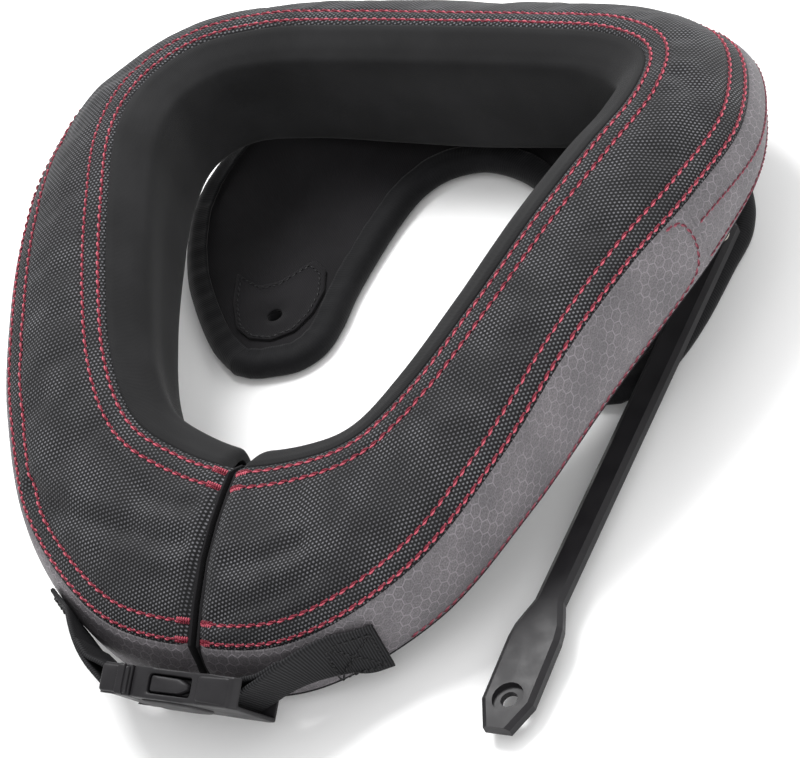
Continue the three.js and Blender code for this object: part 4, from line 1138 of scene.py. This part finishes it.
def raised(name, half, depth, base, on_top=True):
    """A low pillow on the buckle's top or front face: its outline, shrunk ring by ring.

    Half the outline is given, as (place along the buckle, half the width there).
    """
    half, flip = np.array(half), (1, -1)
    line = closed_line(np.concatenate([half[:1] * flip, half, half[:0:-1] * flip]), 96, 6)
    middle = line.mean(0)
    rings = []
    for share, out in PILLOW:
        flat = middle + (line - middle) * share
        out = np.full(len(flat), base + depth * out)
        y, z = (flat[:, 1], out) if on_top else (-out, flat[:, 1])
        rings.append(np.column_stack([flat[:, 0], y + BUCKLE_Y, z + BUCKLE_HEIGHT]))
    piece = loft(name, lean(np.stack(rings)), NYLON)
    return finish_piece(piece, "nylon_plastic")


raised("socket_panel", [(-8.5, 8), (4, 9), (10, 7), (13.5, 2)], 0.8, HALF_DEPTH, on_top=False)
for name, half, depth, above in (
        ("plug_cap", [(-21.6, 4.4), (-11.4, 4.4)], 1.3, -0.7),
        ("plug_rib", [(-15.2, 4.9), (-12.6, 4.9)], 1.0, 0.3),
        ("release_arm", [(-3.6, 2.7), (7.5, 2.4), (11, 0.8)], 2.4, -2.9),
        ("socket_shoulder", [(15, 4), (27, 4.4)], 0.8, 0.1)):
    raised(name, half, depth, HALF_SPAN + above)

# %% [markdown]
# The camera was fitted to the collar's outline in the photograph. It is then turned by less than
# two degrees to face the picture's middle, so that it needs no lens shift.

# %% Camera at the photograph's angle
camera_data = bpy.data.cameras.new("camera")
camera = placed("camera", camera_data)
bpy.context.scene.camera = camera
right, up, back = (np.array(v) for v in (
    (0.84425345, 0.39313436, -0.36425471), (-0.04713021, 0.73147704, 0.68023532),
    (0.53386783, -0.55712361, 0.63608052)))
FOCAL, PICTURE_WIDTH = 3661.62, 800
OFF_RIGHT, OFF_DOWN = 400 - 358.145, 379 - 265.415
look = unit(OFF_RIGHT / FOCAL * right - OFF_DOWN / FOCAL * up - back)
turned_right = unit(np.cross(look, up))
turned_up = np.cross(turned_right, look)
place = np.array([651.528, -670.668 + SHIFT_Y, 816.658]) * MM
stand = np.column_stack([turned_right, turned_up, -look, place])
camera.matrix_world = Matrix([*stand.tolist(), (0, 0, 0, 1)])
camera_data.sensor_width = 36
slant = math.hypot(OFF_RIGHT, OFF_DOWN, FOCAL)
camera_data.lens = camera_data.sensor_width * slant / PICTURE_WIDTH
print("camera at", place.round(3), "m with a lens of", round(camera_data.lens, 1), "mm")

# %% [markdown]
# A pale floor, an even white surround and three large soft lights, as in a product photograph.

# %% Floor and light
bpy.ops.mesh.primitive_plane_add(size=8)
floor = bpy.context.object
floor.name = "floor"
floor_finish, _, _ = material("pale_paper", Base_Color=linear("#fafafa"), Roughness=0.9)
floor.data.materials.append(floor_finish)
world = bpy.data.worlds.new("studio")
bpy.context.scene.world = world
world.use_nodes = True
surround = world.node_tree.nodes["Background"]
surround.inputs[0].default_value = (1, 1, 1, 1)
surround.inputs[1].default_value = 0.88
bpy.context.scene.view_settings.view_transform = "Standard"


def softbox(name, position, target, size, power):
    """A square studio light that faces its target."""
    data = bpy.data.lights.new(name, "AREA")
    data.size, data.energy = size, power
    lamp = placed(name, data)
    lamp.location = position
    direction = np.array(target) - np.array(position)
    lamp.rotation_euler = Vector(direction).to_track_quat("-Z", "Y").to_euler()


softbox("key_light", (-0.5, 0.5, 1.3), (0, 0, 0), 0.6, 22)
softbox("fill_light", (1.0, -0.9, 0.7), (0, 0, 0.03), 0.9, 7)
softbox("rear_light", (0.3, 1.2, 0.9), (0, 0, 0.04), 0.9, 6)
